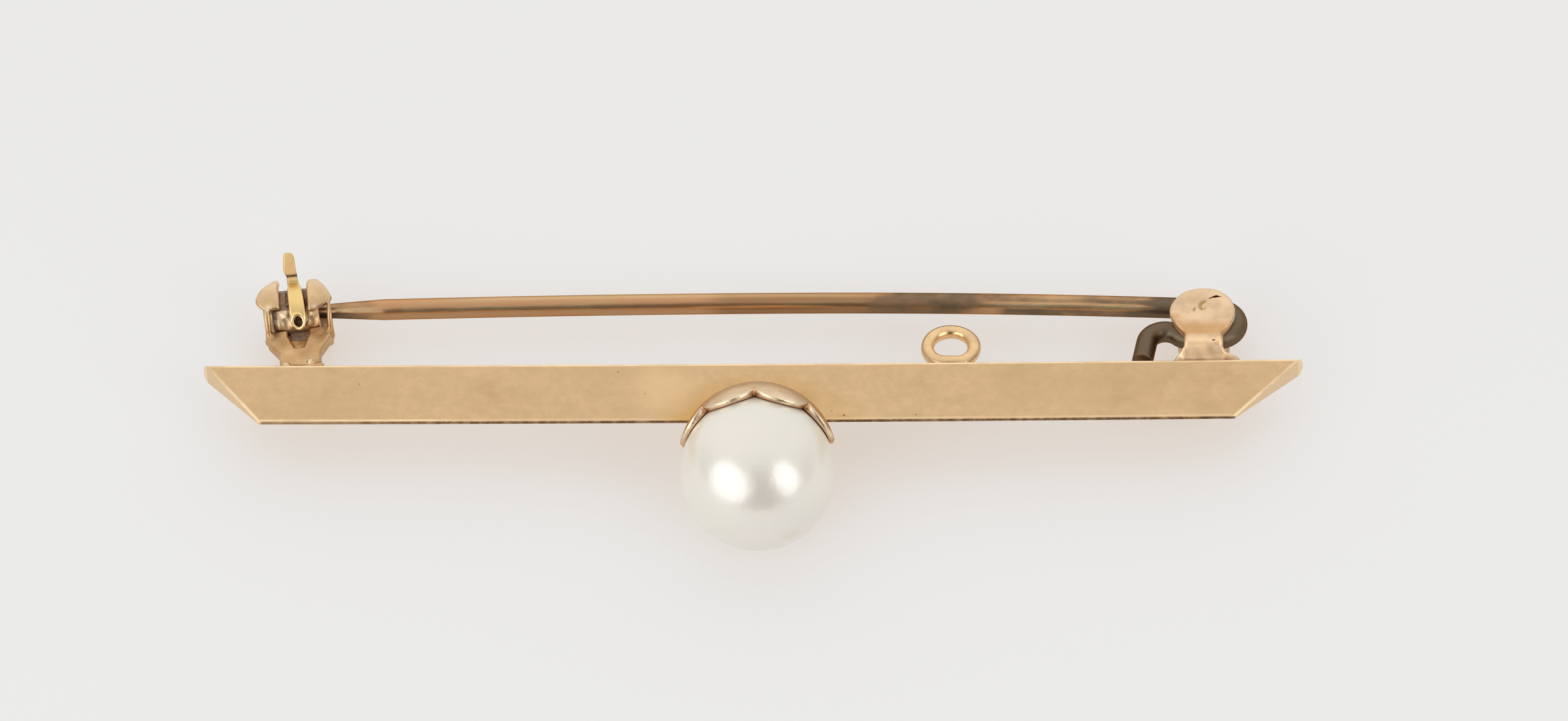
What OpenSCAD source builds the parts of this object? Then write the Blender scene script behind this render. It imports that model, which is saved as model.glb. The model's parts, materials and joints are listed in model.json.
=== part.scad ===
// Bar brooch with one pearl: a knife-edge bar, a scalloped cup with the pearl on its peg,
// a guard ring, a riveted spring pin and a roll-over catch.
// The brooch is drawn in its own axes, x along the bar, y out of its back and z towards
// the wearer's chin, and then laid down as it rests: on the cup, the catch and the rivet head.

/* [Bar] */
// Length of the bar along its back
bar_len = 50; // [46:0.5:58]
// Depth of the bar, from its back to its knife edge
bar_depth = 3.25; // [2.8:0.05:4]
// Thickness of the bar at its back
bar_back = 1.05; // [0.9:0.05:1.4]
// How far the back is domed
back_dome = 0.18; // [0.1:0.02:0.3]
// Radius of the knife edge
edge_r = 0.12; // [0.08:0.02:0.2]
// How far the slanted cut takes back the knife edge at the catch's end
cut_catch = 2.7; // [2:0.05:4]
// How far the slanted cut takes back the knife edge at the hinge's end
cut_hinge = 3.2; // [2:0.05:4]

/* [Pearl and cup] */
// Diameter of the pearl
pearl_d = 7; // [6.4:0.1:7.6]
// Distance of the pearl's centre in front of the bar's back
pearl_out = 6.6; // [6.5:0.05:7]
// Place of the pearl along the bar, from the bar's middle
pearl_x = 0.3; // [-2:0.1:2]
// Gap between the pearl and its cup
cup_gap = 0.08; // [0.05:0.01:0.12]
// Outer radius of the cup
cup_out = 3.6; // [3.5:0.05:3.8]
// How far the cup's outside is centred behind its inside, so that its rim thins out
cup_shift = 0.74; // [0.5:0.02:1]
// Number of scallops round the cup's rim
scallops = 8; // [6:1:10]
// Distance behind the pearl's centre of the notches between scallops
notch_back = 1.9; // [1.5:0.05:2.1]
// Distance behind the pearl's centre of the scallops' tips
tip_back = 1; // [0.8:0.05:1.2]
// Turn of the scallops round the cup's axis, in degrees
cup_turn = 2; // [0:0.5:45]
// Radius of the peg that holds the pearl
peg_r = 0.4; // [0.3:0.05:0.5]
// Depth of the hole drilled in the pearl
drill_depth = 2.9; // [2:0.1:3.2]

/* [Pin] */
// Radius of the pin's wire
wire_r = 0.48; // [0.4:0.02:0.5]
// Distance from the bar's back to the crown of the bowed stem
stem_out = 4.42; // [4.3:0.02:4.6]
// Place of the crown along the bar
crown_x = 1.5; // [0:0.5:3]
// Radius of the stem's bow on the side of the point
bow_point_r = 650; // [500:10:800]
// Radius of the stem's bow on the side of the hinge
bow_hinge_r = 330; // [280:5:350]
// Length of the taper, from full wire to the point
taper_len = 5.2; // [4:0.1:7]
// Radius of the rounded point
point_r = 0.17; // [0.12:0.01:0.25]

/* [Hinge] */
// Place of the rivet along the bar
rivet_x = 21.05; // [19:0.05:21.5]
// Radius of the rivet
rivet_r = 0.38; // [0.3:0.01:0.4]
// Radius of the rivet's head
head_r = 0.66; // [0.6:0.02:0.8]
// Radius of the wire's centre line round the rivet
hairpin_r = 0.98; // [0.92:0.01:1.02]
// Radius of the round lugs
lug_r = 1.53; // [1.45:0.01:1.6]
// Thickness of each lug
lug_t = 0.76; // [0.6:0.02:0.8]
// How far the lugs' centre lies from the rivet, towards the catch
lug_shift = 0.6; // [0.2:0.05:0.7]
// Width of the lugs' neck
neck_w = 1.75; // [1.5:0.05:2]
// Width of the hinge's foot on the bar
foot_w = 3.1; // [2.6:0.05:3.3]

/* [Catch] */
// Place of the catch along the bar
catch_x = -20.8; // [-21.5:0.05:-19]
// Distance from the bar's back to the catch's axis
catch_out = 3.84; // [3.75:0.01:3.95]
// Lean of the catch towards its end of the bar, in degrees
catch_lean = 4.5; // [0:0.5:5]
// Twist of the catch on its leg, in degrees
catch_twist = 4.5; // [0:0.5:5]
// Outer radius of the catch's sleeve
sleeve_r = 1.56; // [1.5:0.01:1.6]
// Thickness of the sleeve's wall
sleeve_t = 0.34; // [0.3:0.01:0.38]
// Half the angle of the sleeve's mouth
mouth_half = 38; // [34:1:42]
// Width of the slot that the lever turns in
slot_w = 1.25; // [1.1:0.05:1.4]
// Width of the window under the slot
window_w = 2.6; // [2.3:0.02:2.6]
// Outer radius of the turning lock
lock_r = 1.18; // [1.14:0.01:1.19]
// Thickness of the lock's wall
lock_t = 0.36; // [0.3:0.02:0.4]
// Length of the lock along the pin
lock_len = 2; // [1.8:0.1:2.2]
// Width of the lever where it leaves the lock
lever_w = 0.78; // [0.6:0.02:0.9]
// Width of the lever's thumb tab
tab_w = 0.5; // [0.4:0.02:0.6]
// Reach of the thumb tab from the catch's axis
tab_reach = 2.92; // [2.5:0.02:3]

/* [Guard ring] */
// Place of the guard ring along the bar
guard_x = 9; // [6:0.5:14]
// Radius of the guard ring's centre line
guard_r = 1.06; // [0.9:0.02:1.2]
// Radius of the guard ring's wire
guard_wire_r = 0.31; // [0.25:0.01:0.35]

/* [Hidden] */
$fn = 96;
snug = 0.04;
overlap = 0.02;
blend = 0.012;
sink = 0.1;
ample = 10;

// Bar
flank_angle = atan(bar_back / 2 / (bar_depth - edge_r))
    - asin(edge_r / norm([bar_back / 2, bar_depth - edge_r]));
dome_r = (pow(bar_back / 2, 2) + pow(back_dome, 2)) / (2 * back_dome);

// Pearl and cup
pearl_r = pearl_d / 2;
cup_in = pearl_r + cup_gap;
rim_r = sqrt(pow(cup_out, 2) - pow(notch_back - cup_shift, 2));
half_scallop = rim_r * sin(180 / scallops);
scallop_rise = notch_back - tip_back;
scallop_r = (pow(scallop_rise, 2) + pow(half_scallop, 2)) / (2 * scallop_rise);
scallop_back = tip_back + scallop_r;
peg_root = 0.2;
peg_end = 0.1;

// Hinge: the bow's arc ends over the rivet, and the hairpin is tangent to it there
bow_end = asin((rivet_x - crown_x) / (bow_hinge_r - hairpin_r));
rivet_out = stem_out - bow_hinge_r + (bow_hinge_r - hairpin_r) * cos(bow_end);
lug_in = wire_r + snug;
lug_face = lug_in + lug_t;
lug_drop = 0.36;
lug_out = rivet_out - lug_drop;
foot_t = 0.42;
foot_edge = 0.15;
foot_rise = 0.8;
foot_half = 0.85;

// Tail: past the hairpin it runs on, climbs to a crest and then drops to the bar
tail_run = 1.1;
climb = 45;
climb_r = 0.85;
crest_r = 0.85;
drop = 80;
tail_gap = 0.03;

// Guard ring
guard_sink = 0.07;

// Catch
sleeve_in = sleeve_r - sleeve_t;
lobe_r = 1.27;
lobe_x = 0.47;
lobe_y = -0.5;
lobe_shift = -0.09;
slot_end = 124;
window_end = 174;
track_end = 246;
track_w = lever_w + 0.12;
strip_x = 0.04;
tab_x = -0.1;
under_w = 2.9;
waist_w = window_w + 0.5;
leg_w = 1.9;
leg_t = 0.62;
leg_top = 0.3 - sleeve_r;
flare_high = -1.85;
flare_low = -2.7;
leg_slot_low = -2.35;
shoulder = 1.1;
lever_angle = 52;
lever_t = 0.3;
lock_gap_half = 42;
eye_angle = 147;
eye_r = 0.21;
strip_start = 46;
strip_end = 160;
lever_root = 0.6;
lever_step = 0.1;

// Lying pose: the cup's lowest scallops and the sleeve touch the ground, and the rivet's
// head is made to. The crooked sleeve touches with one end, end_drop below its middle.
sleeve_half = 1.45;
straight_tilt = asin((cup_out - sleeve_r) / (pearl_out + catch_out - cup_shift));
end_drop = sleeve_half * (sin(catch_twist) * cos(straight_tilt)
    - sin(catch_lean) * sin(straight_tilt));
rest_tilt = asin((cup_out - sleeve_r - end_drop) / (pearl_out + catch_out - cup_shift));
rest_lift = cup_out + (cup_shift - pearl_out) * sin(rest_tilt);
head_low = (rest_lift - (rivet_out + head_r) * sin(rest_tilt)) / cos(rest_tilt);
head_t = head_low - lug_face - snug;
front_reach = pearl_r + pearl_out * cos(rest_tilt);
back_reach = catch_out * cos(rest_tilt) + tab_reach * cos(lever_angle - rest_tilt);

// Carries a flat shape, drawn with y out of the back, along x
module along_x(len) {
    translate([-len / 2, 0, 0]) rotate([90, 0, 90]) linear_extrude(height = len) children();
}

// Turns a flat shape, drawn as radius and place along x, round an axis along x.
// Angles run from the back, at 0, over the top, at 90, to the bar, at 180.
module round_x(from, to) {
    rotate([90, 0, 90]) rotate_extrude(angle = to - from, start = from) children();
}

// A band of a tube round an axis along x
module band(r_in, r_out, len, from, to) {
    round_x(from, to) translate([r_in, -len / 2]) square([r_out - r_in, len]);
}

// A piece of wire bent to an arc in the plane of the bar's back and its length
module wire_arc(centre, r, from, to, steps = 96) {
    translate([centre[0], centre[1], 0])
        rotate_extrude(angle = to - from, start = from, $fn = steps)
            translate([r, 0]) circle(wire_r, $fn = 32);
}

// A straight, possibly tapered, length of wire from one point to another
module wire_line(a, b, r_a, r_b) {
    run = b - a;
    translate([a[0], a[1], 0]) rotate([0, 0, atan2(run[1], run[0])]) rotate([0, 90, 0])
        cylinder(h = norm(run), r1 = r_a, r2 = r_b, $fn = 32);
}

// A bead that joins two lengths of wire where they meet
module wire_bead(at, heading) {
    translate([at[0], at[1], 0]) rotate([0, 0, heading]) rotate([0, 90, 0])
        sphere(wire_r + blend, $fn = 32);
}

module at_pearl() {
    translate([pearl_x, -pearl_out, 0]) children();
}

module at_catch() {
    translate([catch_x, catch_out, 0]) rotate([0, -catch_twist, catch_lean])
        children();
}

// The bar's section: two long flanks, a domed back and a rounded knife edge
module bar_section() {
    tangent = [-(bar_depth - edge_r) - edge_r * sin(flank_angle), edge_r * cos(flank_angle)];
    polygon([[0, bar_back / 2], tangent, [tangent[0], -tangent[1]], [0, -bar_back / 2]]);
    translate([-(bar_depth - edge_r), 0]) circle(edge_r);
    intersection() {
        translate([back_dome - dome_r, 0]) circle(dome_r);
        translate([-overlap, -bar_back / 2]) square([1, bar_back]);
    }
}

// The knife-edge bar, cut slanting at both ends and notched for the cup
module bar() {
    color("burlywood") difference() {
        intersection() {
            along_x(bar_len + 1) bar_section();
            linear_extrude(height = ample, center = true) polygon([
                [-bar_len / 2, back_dome],
                [bar_len / 2, back_dome],
                [bar_len / 2 - cut_hinge, -bar_depth],
                [-bar_len / 2 + cut_catch, -bar_depth]
            ]);
        }
        at_pearl() rotate([90, 0, 0]) sphere(cup_in);
    }
}

// The scalloped cup and the peg on which the pearl is glued
module pearl_cup() {
    color("peachpuff") at_pearl() {
        difference() {
            intersection() {
                translate([0, cup_shift, 0]) rotate([90, 0, 0]) sphere(cup_out);
                union() {
                    translate([-ample / 2, notch_back, -ample / 2]) cube(ample);
                    for (i = [0 : scallops - 1])
                        rotate([0, (i + 0.5) * 360 / scallops - cup_turn, 0])
                            translate([0, scallop_back, 1]) cylinder(h = ample / 2, r = scallop_r);
                }
            }
            rotate([90, 0, 0]) sphere(cup_in);
        }
        translate([0, cup_in + peg_root, 0]) rotate([90, 0, 0])
            cylinder(h = peg_root + cup_gap + drill_depth - peg_end, r = peg_r);
    }
}

// The guard ring for a safety chain, soldered to the bar's back
module guard_ring() {
    color("burlywood")
        translate([guard_x, back_dome - guard_sink + guard_r + guard_wire_r, 0])
            rotate_extrude() translate([guard_r, 0]) circle(guard_wire_r);
}

// One lug's outline, seen along the rivet: a disc on a neck
module lug_outline() {
    translate([-lug_shift, lug_out]) circle(lug_r);
    translate([-lug_shift - neck_w / 2, -sink]) square([neck_w, lug_out]);
}

// The hinge's two lugs and their foot, with the rivet's holes
module hinge_lugs() {
    color("tan") translate([rivet_x, 0, 0]) difference() {
        union() {
            for (z = [-lug_face, lug_in])
                translate([0, 0, z]) linear_extrude(height = lug_t) lug_outline();
            translate([-lug_shift - neck_w / 2, -sink, -lug_face])
                cube([neck_w, foot_t + sink, 2 * lug_face]);
            translate([-lug_shift, 0, 0]) linear_extrude(height = 2 * foot_half, center = true)
                polygon([
                    [-foot_w / 2, -sink],
                    [foot_w / 2, -sink],
                    [foot_w / 2, foot_edge],
                    [neck_w / 2 - overlap, foot_rise],
                    [-neck_w / 2 + overlap, foot_rise],
                    [-foot_w / 2, foot_edge]
                ]);
        }
        translate([0, rivet_out, 0]) cylinder(h = ample, r = rivet_r + snug, center = true);
    }
}

// The sleeve's outline, seen on its windowed side: two lobes on a waist
module lobe_outline() {
    for (side = [-1, 1]) translate([side * lobe_x + lobe_shift, lobe_y]) circle(lobe_r);
    translate([-waist_w / 2, -2]) square([waist_w, 2]);
}

// The sleeve's outline on its closed side, tapering to the leg
module under_outline() {
    polygon([
        [-under_w / 2, shoulder],
        [under_w / 2, shoulder],
        [under_w / 2, -1],
        [leg_w / 2, -2],
        [-leg_w / 2, -2],
        [-under_w / 2, -1]
    ]);
}

// The catch's sleeve with its lobes, slot and window, on its leg
module catch_sleeve() {
    color("rosybrown") intersection() {
        at_catch() difference() {
            union() {
                intersection() {
                    band(sleeve_in, sleeve_r, ample, mouth_half, 360 - mouth_half);
                    union() {
                        linear_extrude(height = 2) lobe_outline();
                        translate([0, 0, -2]) linear_extrude(height = 2) under_outline();
                    }
                }
                catch_leg();
            }
            translate([lobe_shift, 0, 0])
                band(sleeve_in - sink, sleeve_r + sink, slot_w, mouth_half - 5, slot_end + 1);
            band(sleeve_in - sink, sleeve_r + sink, window_w, slot_end, window_end);
            translate([strip_x, 0, 0])
                band(sleeve_in - sink, sleeve_r + snug, track_w, window_end - 1, track_end);
            translate([strip_x - track_w / 2, leg_slot_low, 0]) cube([track_w, 1, 1]);
        }
        translate([-bar_len / 2, 0, -ample / 2]) cube(ample);
    }
}

// The catch's leg, which spreads upwards to the width of the sleeve
module catch_leg() {
    difference() {
        translate([0, 0, -leg_t / 2]) linear_extrude(height = leg_t) polygon([
            [-leg_w / 2, -catch_out - 2 * sink],
            [leg_w / 2, -catch_out - 2 * sink],
            [leg_w / 2, flare_low],
            [waist_w / 2, flare_high],
            [waist_w / 2, leg_top],
            [-waist_w / 2, leg_top],
            [-waist_w / 2, flare_high],
            [-leg_w / 2, flare_low]
        ]);
        rotate([0, 90, 0]) cylinder(h = ample, r = sleeve_in, center = true);
    }
}

// All the metal that is soldered to the bar, as one solid
module soldered_bar() {
    bar();
    pearl_cup();
    guard_ring();
    hinge_lugs();
    catch_sleeve();
}

// The pearl, drilled half through for its peg
module pearl() {
    color("seashell") at_pearl() difference() {
        rotate([90, 0, 0]) sphere(pearl_r);
        translate([0, pearl_r + sink, 0]) rotate([90, 0, 0])
            cylinder(h = sink + drill_depth, r = peg_r + snug);
    }
}

// The rivet, flush on top and with a low head below
module hinge_rivet() {
    color("darkgray") translate([rivet_x, rivet_out, 0]) {
        translate([0, 0, -lug_face - snug - overlap])
            cylinder(h = 2 * lug_face + snug + 2 * overlap, r = rivet_r);
        translate([0, 0, -head_low]) cylinder(h = head_t, r = head_r);
    }
}

// The spring pin: point, bowed stem, hairpin round the rivet and tail against the bar
module pin() {
    crown = [crown_x, stem_out];
    taper_x = catch_x - 1.3 + taper_len;
    point_turn = asin((crown_x - taper_x) / bow_point_r);
    taper_start = crown + bow_point_r * [-sin(point_turn), cos(point_turn) - 1];
    hub = [rivet_x, rivet_out];
    run_start = hub - [0, hairpin_r];
    run_end = run_start - [tail_run, 0];
    climb_centre = run_end + [0, climb_r];
    crest_centre = climb_centre - (climb_r + crest_r) * [sin(climb), cos(climb)];
    bow_foot = hub + hairpin_r * [sin(bow_end), cos(bow_end)];
    bend_s = climb_centre - climb_r * [sin(climb), cos(climb)];
    fall = crest_centre + crest_r * [cos(90 + drop), sin(90 + drop)];
    fall_len = (fall[1] - back_dome - tail_gap - wire_r * cos(drop)) / sin(drop);
    color("rosybrown") {
        wire_arc(crown - [0, bow_point_r], bow_point_r, 90, 90 + point_turn, 720);
        translate([taper_start[0], taper_start[1], 0]) rotate([0, 0, point_turn])
            rotate([0, -90, 0]) rotate_extrude($fn = 32) polygon([
                [0, 0],
                [wire_r, 0],
                [point_r, taper_len - point_r],
                [point_r * 0.7, taper_len - point_r * 0.3],
                [point_r * 0.3, taper_len],
                [0, taper_len]
            ]);
        wire_arc(crown - [0, bow_hinge_r], bow_hinge_r, 90 - bow_end, 90, 720);
        wire_arc(hub, hairpin_r, -90, 90 - bow_end);
        wire_line(run_start, run_end, wire_r, wire_r);
        wire_arc(climb_centre, climb_r, -90 - climb, -90);
        wire_arc(crest_centre, crest_r, 90 - climb, 90 + drop);
        wire_line(fall, fall - fall_len * [cos(drop), sin(drop)], wire_r, wire_r);
        wire_bead(taper_start, point_turn);
        wire_bead(crown, 0);
        wire_bead(bow_foot, -bow_end);
        wire_bead(run_start, 0);
        wire_bead(run_end, 0);
        wire_bead(bend_s, -climb);
        wire_bead(fall, drop);
    }
}

// The turning lock inside the sleeve, with its lever and thumb tab
module catch_lock() {
    color("gold") at_catch() {
        difference() {
            union() {
                band(lock_r - lock_t, lock_r, lock_len, lock_gap_half, 360 - lock_gap_half);
                translate([strip_x, 0, 0])
                    band(lock_r - sink, sleeve_r - snug, lever_w, strip_start, strip_end);
            }
            translate([strip_x, 0, 0]) rotate([eye_angle, 0, 0])
                translate([0, sleeve_in - sink, 0]) rotate([-90, 0, 0]) cylinder(h = 1, r = eye_r);
        }
        rotate([lever_angle, 0, 0]) translate([0, 0, -lever_t / 2]) {
            translate([strip_x - lever_w / 2, lock_r - sink, 0])
                cube([lever_w - lever_step, lever_root, lever_t]);
            translate([tab_x - tab_w / 2, lock_r, 0])
                cube([tab_w, tab_reach - lock_r - tab_w / 2, lever_t]);
            translate([tab_x, tab_reach - tab_w / 2, 0]) cylinder(h = lever_t, r = tab_w / 2);
        }
    }
}

// Lays the brooch on the ground, with the middle of its outline over the origin
module laid() {
    translate([0, (front_reach - back_reach) / 2, rest_lift]) rotate([-rest_tilt, 0, 0]) children();
}

laid() soldered_bar();
laid() pearl();
laid() hinge_rivet();
laid() pin();
laid() catch_lock();
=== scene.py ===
import json
import math

import bpy
import numpy as np
from mathutils import Matrix


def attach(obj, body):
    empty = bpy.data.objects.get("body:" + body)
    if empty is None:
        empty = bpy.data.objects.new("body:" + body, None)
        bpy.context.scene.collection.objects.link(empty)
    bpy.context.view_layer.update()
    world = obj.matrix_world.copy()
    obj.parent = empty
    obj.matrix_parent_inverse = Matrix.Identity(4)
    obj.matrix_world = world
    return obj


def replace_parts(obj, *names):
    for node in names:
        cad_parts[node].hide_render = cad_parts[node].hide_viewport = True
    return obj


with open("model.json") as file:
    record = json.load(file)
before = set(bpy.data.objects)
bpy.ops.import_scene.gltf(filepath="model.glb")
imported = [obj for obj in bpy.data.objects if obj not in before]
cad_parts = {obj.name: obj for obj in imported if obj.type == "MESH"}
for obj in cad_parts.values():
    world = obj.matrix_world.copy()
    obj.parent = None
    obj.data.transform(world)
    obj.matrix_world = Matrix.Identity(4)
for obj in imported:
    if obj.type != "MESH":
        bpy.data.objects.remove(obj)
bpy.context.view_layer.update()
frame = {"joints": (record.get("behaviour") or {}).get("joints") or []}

bl_info = {
    "name": "Pearl bar brooch",
    "version": (1, 0, 0),
    "blender": (4, 5, 0),
    "location": "View3D > Sidebar > Brooch",
    "description": "A knife-edge bar brooch with a pearl, a riveted pin and a catch that turns",
    "category": "Add Mesh",
}

MM = 0.001
PHOTO_WIDTH = 2576
SENSOR = 36.0


# Properties


def size(name, description, default_mm):
    """A length that the user can change, given in millimetres."""
    return bpy.props.FloatProperty(
        name=name, description=description, default=default_mm * MM, precision=5, unit="LENGTH"
    )


def colour(name, description, default):
    """A colour that the user can change."""
    return bpy.props.FloatVectorProperty(
        name=name, description=description, default=default, size=3, min=0, max=1, subtype="COLOR"
    )


class BroochBarSizes(bpy.types.PropertyGroup):
    length: size("Length", "Length of the bar along its back", 50)
    depth: size("Depth", "From the bar's back to its knife edge", 3.25)
    back: size("Back", "Thickness of the bar at its back", 1.05)
    dome: size("Dome", "How far the back is domed", 0.18)
    edge: size("Edge radius", "Radius of the knife edge", 0.08)
    corner: size("Corner radius", "Radius that wear has given the back's corners", 0.08)
    bevel: size("Bevel", "Radius round the slanted ends", 0.07)
    cut_catch: size("Cut at the catch", "How far the catch's end is cut slanting", 2.7)
    cut_hinge: size("Cut at the hinge", "How far the hinge's end is cut slanting", 3.2)
    sag: size("Sag", "How far the bar's middle is bent forwards", 0.09)


class BroochPearlSizes(bpy.types.PropertyGroup):
    radius: size("Pearl radius", "Radius of the pearl", 3.5)
    along: size("Place", "Place of the pearl along the bar", 0.3)
    out: size("Reach", "Distance of the pearl's centre in front of the bar's back", 6.6)
    cup_inside: size("Cup inside", "Inner radius of the cup", 3.58)
    cup_outside: size("Cup outside", "Outer radius of the cup", 3.6)
    cup_shift: size("Cup shift", "How far the cup's outside is centred behind its inside", 0.74)
    notch: size("Notch", "Distance of the rim's notches behind the pearl's centre", 1.82)
    tip: size("Tip", "Distance of the scallops' tips behind the pearl's centre", 1.2)
    scallops: bpy.props.IntProperty(
        name="Scallops", description="Number of scallops round the rim", default=8, min=4, max=16
    )
    turn: bpy.props.FloatProperty(
        name="Turn", description="Turn of the scallops", default=math.radians(2), subtype="ANGLE"
    )
    peg: size("Peg", "Radius of the peg that holds the pearl", 0.4)
    drill: size("Drill depth", "Depth of the hole in the pearl", 2.9)


class BroochPinSizes(bpy.types.PropertyGroup):
    wire: size("Wire radius", "Radius of the pin's wire", 0.48)
    point: size("Point radius", "Radius of the rounded point", 0.17)
    taper: size("Taper", "Length of the taper to the point", 5.2)
    crown_along: size("Crown", "Place of the bow's crown along the bar", 1.5)
    crown_out: size("Crown's reach", "Distance of the crown behind the bar's back", 4.42)
    bow_point: size("Bow to the point", "Radius of the bow on the point's side", 650)
    bow_hinge: size("Bow to the hinge", "Radius of the bow on the hinge's side", 330)
    hairpin: size("Hairpin", "Radius of the bend round the rivet", 0.98)
    run: size("Run", "Straight length after the hairpin", 1.1)
    climb: size("Climb radius", "Radius of the tail's bends", 0.85)


class BroochHingeSizes(bpy.types.PropertyGroup):
    along: size("Place", "Place of the rivet along the bar", 21.05)
    out: size("Reach", "Distance of the rivet behind the bar's back", 2.85867)
    lug: size("Lug radius", "Radius of the round lugs", 1.53)
    lug_thick: size("Lug thickness", "Thickness of each lug", 0.76)
    lug_gap: size("Lug gap", "Half the gap between the lugs", 0.52)
    shift: size("Lug shift", "How far the lugs' centre lies towards the catch", 0.6)
    drop: size("Lug drop", "How far the lugs' centre lies below the rivet", 0.36)
    neck: size("Neck", "Width of the lugs' neck", 1.75)
    rivet: size("Rivet radius", "Radius of the rivet", 0.38)
    head: size("Head radius", "Radius of the rivet's head", 0.66)
    head_low: size("Head's reach", "Distance of the head's face below the rivet's middle", 1.74776)


class BroochCatchSizes(bpy.types.PropertyGroup):
    along: size("Place", "Place of the catch along the bar", -20.8)
    out: size("Reach", "Distance of the catch's axis behind the bar's back", 3.84)
    sleeve: size("Sleeve radius", "Outer radius of the sleeve", 1.56)
    wall: size("Sleeve wall", "Thickness of the sleeve's wall", 0.34)
    lock: size("Lock radius", "Outer radius of the turning lock", 1.18)
    lock_wall: size("Lock wall", "Thickness of the lock's wall", 0.36)
    lock_length: size("Lock length", "Length of the lock along the pin", 2.0)
    lean: bpy.props.FloatProperty(
        name="Lean", description="Lean towards the bar's end", default=math.radians(4.5), subtype="ANGLE"
    )
    twist: bpy.props.FloatProperty(
        name="Twist", description="Twist on the leg", default=math.radians(4.5), subtype="ANGLE"
    )


class BroochGuardSizes(bpy.types.PropertyGroup):
    along: size("Place", "Place of the guard ring along the bar", 9)
    ring: size("Ring radius", "Radius of the ring's centre line", 1.06)
    wire: size("Wire radius", "Radius of the ring's wire", 0.31)
    sink: size("Sink", "How far the ring is sunk into the bar's back", 0.07)


class BroochColours(bpy.types.PropertyGroup):
    bar: colour("Bar", "Satin gold of the bar", (0.625, 0.432, 0.236))
    solder: colour("Solder glow", "Warm gold round the soldered cup", (0.58, 0.335, 0.11))
    rose: colour("Rose gold", "Pink gold of the cup, the catch and the hinge", (0.92, 0.68, 0.44))
    yellow: colour("Yellow gold", "Yellow gold of the lock's lever", (0.84, 0.61, 0.26))
    # Brown for grime in the hollows and for painted shade in hollows, slots and along the knife edge.
    grime_and_shade: colour("Grime", "Brown grime in the hollows", (0.13, 0.05, 0.025))
    bronze: colour("Bronze", "Worn gold of the pin's wire", (0.64, 0.35, 0.175))
    olive: colour("Olive", "Tarnish on the pin's wire", (0.165, 0.122, 0.08))
    pearl: colour("Pearl", "Body colour of the pearl", (0.75, 0.73, 0.625))
    floor: colour("Floor", "Pale floor", (0.22, 0.33, 0.4))


# Placing


def hinge_place():
    """Rotation and place of the brooch's own axes: z is the pin hinge's axis, and x lies along the bar."""
    swing = next(j for j in frame["joints"] if j["name"] == "pin_swing")
    up = -np.array(swing["axis"]) / np.linalg.norm(swing["axis"])
    along = np.array([1.0, 0.0, 0.0])
    return np.column_stack([along, np.cross(up, along), up]), np.array(swing["pos_m"])


def lay(points):
    """Carries points from the brooch's own axes to where it lies: they are turned with the hinge and
    moved so that the rivet meets the hinge's place."""
    turn, place = hinge_place()
    hinge = bpy.context.scene.brooch_hinge
    return (points - np.array([hinge.along, hinge.out, 0])) @ turn.T + place


def sag_at(x):
    """How far forwards the bent bar lies: a parabola with its depth at the middle and nothing at the ends."""
    bar = bpy.context.scene.brooch_bar
    return bar.sag * (1 - np.clip(2 * x / bar.length, -1, 1) ** 2)


# Meshes


def make_piece(name, points, faces, body, material, notes=None):
    """A smooth mesh object from points in the brooch's own axes, and faces of four points, the last one twice
    in a triangle. notes are named values at the points. The faces are turned round if six times the signed
    volume, the sum of p0.(p1 x p2), is negative."""
    low = points[faces[:, 0]]
    volume = np.einsum("ij,ij->i", low, np.cross(points[faces[:, 1]], points[faces[:, 2]])).sum()
    volume += np.einsum("ij,ij->i", low, np.cross(points[faces[:, 2]], points[faces[:, 3]])).sum()
    if volume < 0:
        faces = faces[:, [1, 0, 3, 2]]
    mesh = bpy.data.meshes.new(name)
    loops = [face[: 3 if face[3] == face[2] else 4] for face in faces.tolist()]
    mesh.from_pydata(lay(points).tolist(), [], loops)
    mesh.polygons.foreach_set("use_smooth", np.ones(len(loops), dtype=bool))
    for key, values in (notes or {}).items():
        attribute = mesh.attributes.new(key, "FLOAT", "POINT")
        attribute.data.foreach_set("value", np.asarray(values, dtype=np.float32).ravel())
    mesh.update()
    piece = bpy.data.objects.new(name, mesh)
    bpy.context.scene.collection.objects.link(piece)
    mesh.materials.append(material)
    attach(piece, body)
    return piece


def grid_faces(rows, cols, loop):
    """Faces of a grid whose columns close on themselves. With loop its rows close too. Otherwise the grid's
    first and last rows are closed by fans on two points that come after the grid's own."""
    row = np.arange(rows if loop else rows - 1)[:, None]
    col = np.arange(cols)[None, :]
    beside, below = (col + 1) % cols, (row + 1) % rows
    quads = [row * cols + col, row * cols + beside, below * cols + beside, below * cols + col]
    faces = np.stack([np.broadcast_to(q, (len(row), cols)) for q in quads], -1).reshape(-1, 4)
    if loop:
        return faces
    ring, nxt = np.arange(cols), (np.arange(cols) + 1) % cols
    first, last, start = rows * cols, rows * cols + 1, (rows - 1) * cols
    cap = np.stack([np.full(cols, first), nxt, ring, ring], -1)
    end = np.stack([np.full(cols, last), start + ring, start + nxt, start + nxt], -1)
    return np.vstack([faces, cap, end])


def grid_piece(name, grid, body, material, notes=None, loop=False):
    """A piece from a grid of points. Without loop its two ends are closed at the middles of the first and
    last rows. Each note gives its values on the grid and its values at those two middles."""
    points = grid.reshape(-1, 3)
    if not loop:
        points = np.vstack([points, grid[0].mean(0), grid[-1].mean(0)])
    notes = {key: np.append(values, ends) for key, (values, ends) in (notes or {}).items()}
    return make_piece(name, points, grid_faces(*grid.shape[:2], loop), body, material, notes)


def carried(line, across, up, radius, turns):
    """A round profile carried along a line: line + radius (across cos t + up sin t), for t in turns."""
    cos, sin = np.cos(turns)[None, :, None], np.sin(turns)[None, :, None]
    return line[:, None] + radius[:, None, None] * (across[:, None] * cos + up[:, None] * sin)


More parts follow.
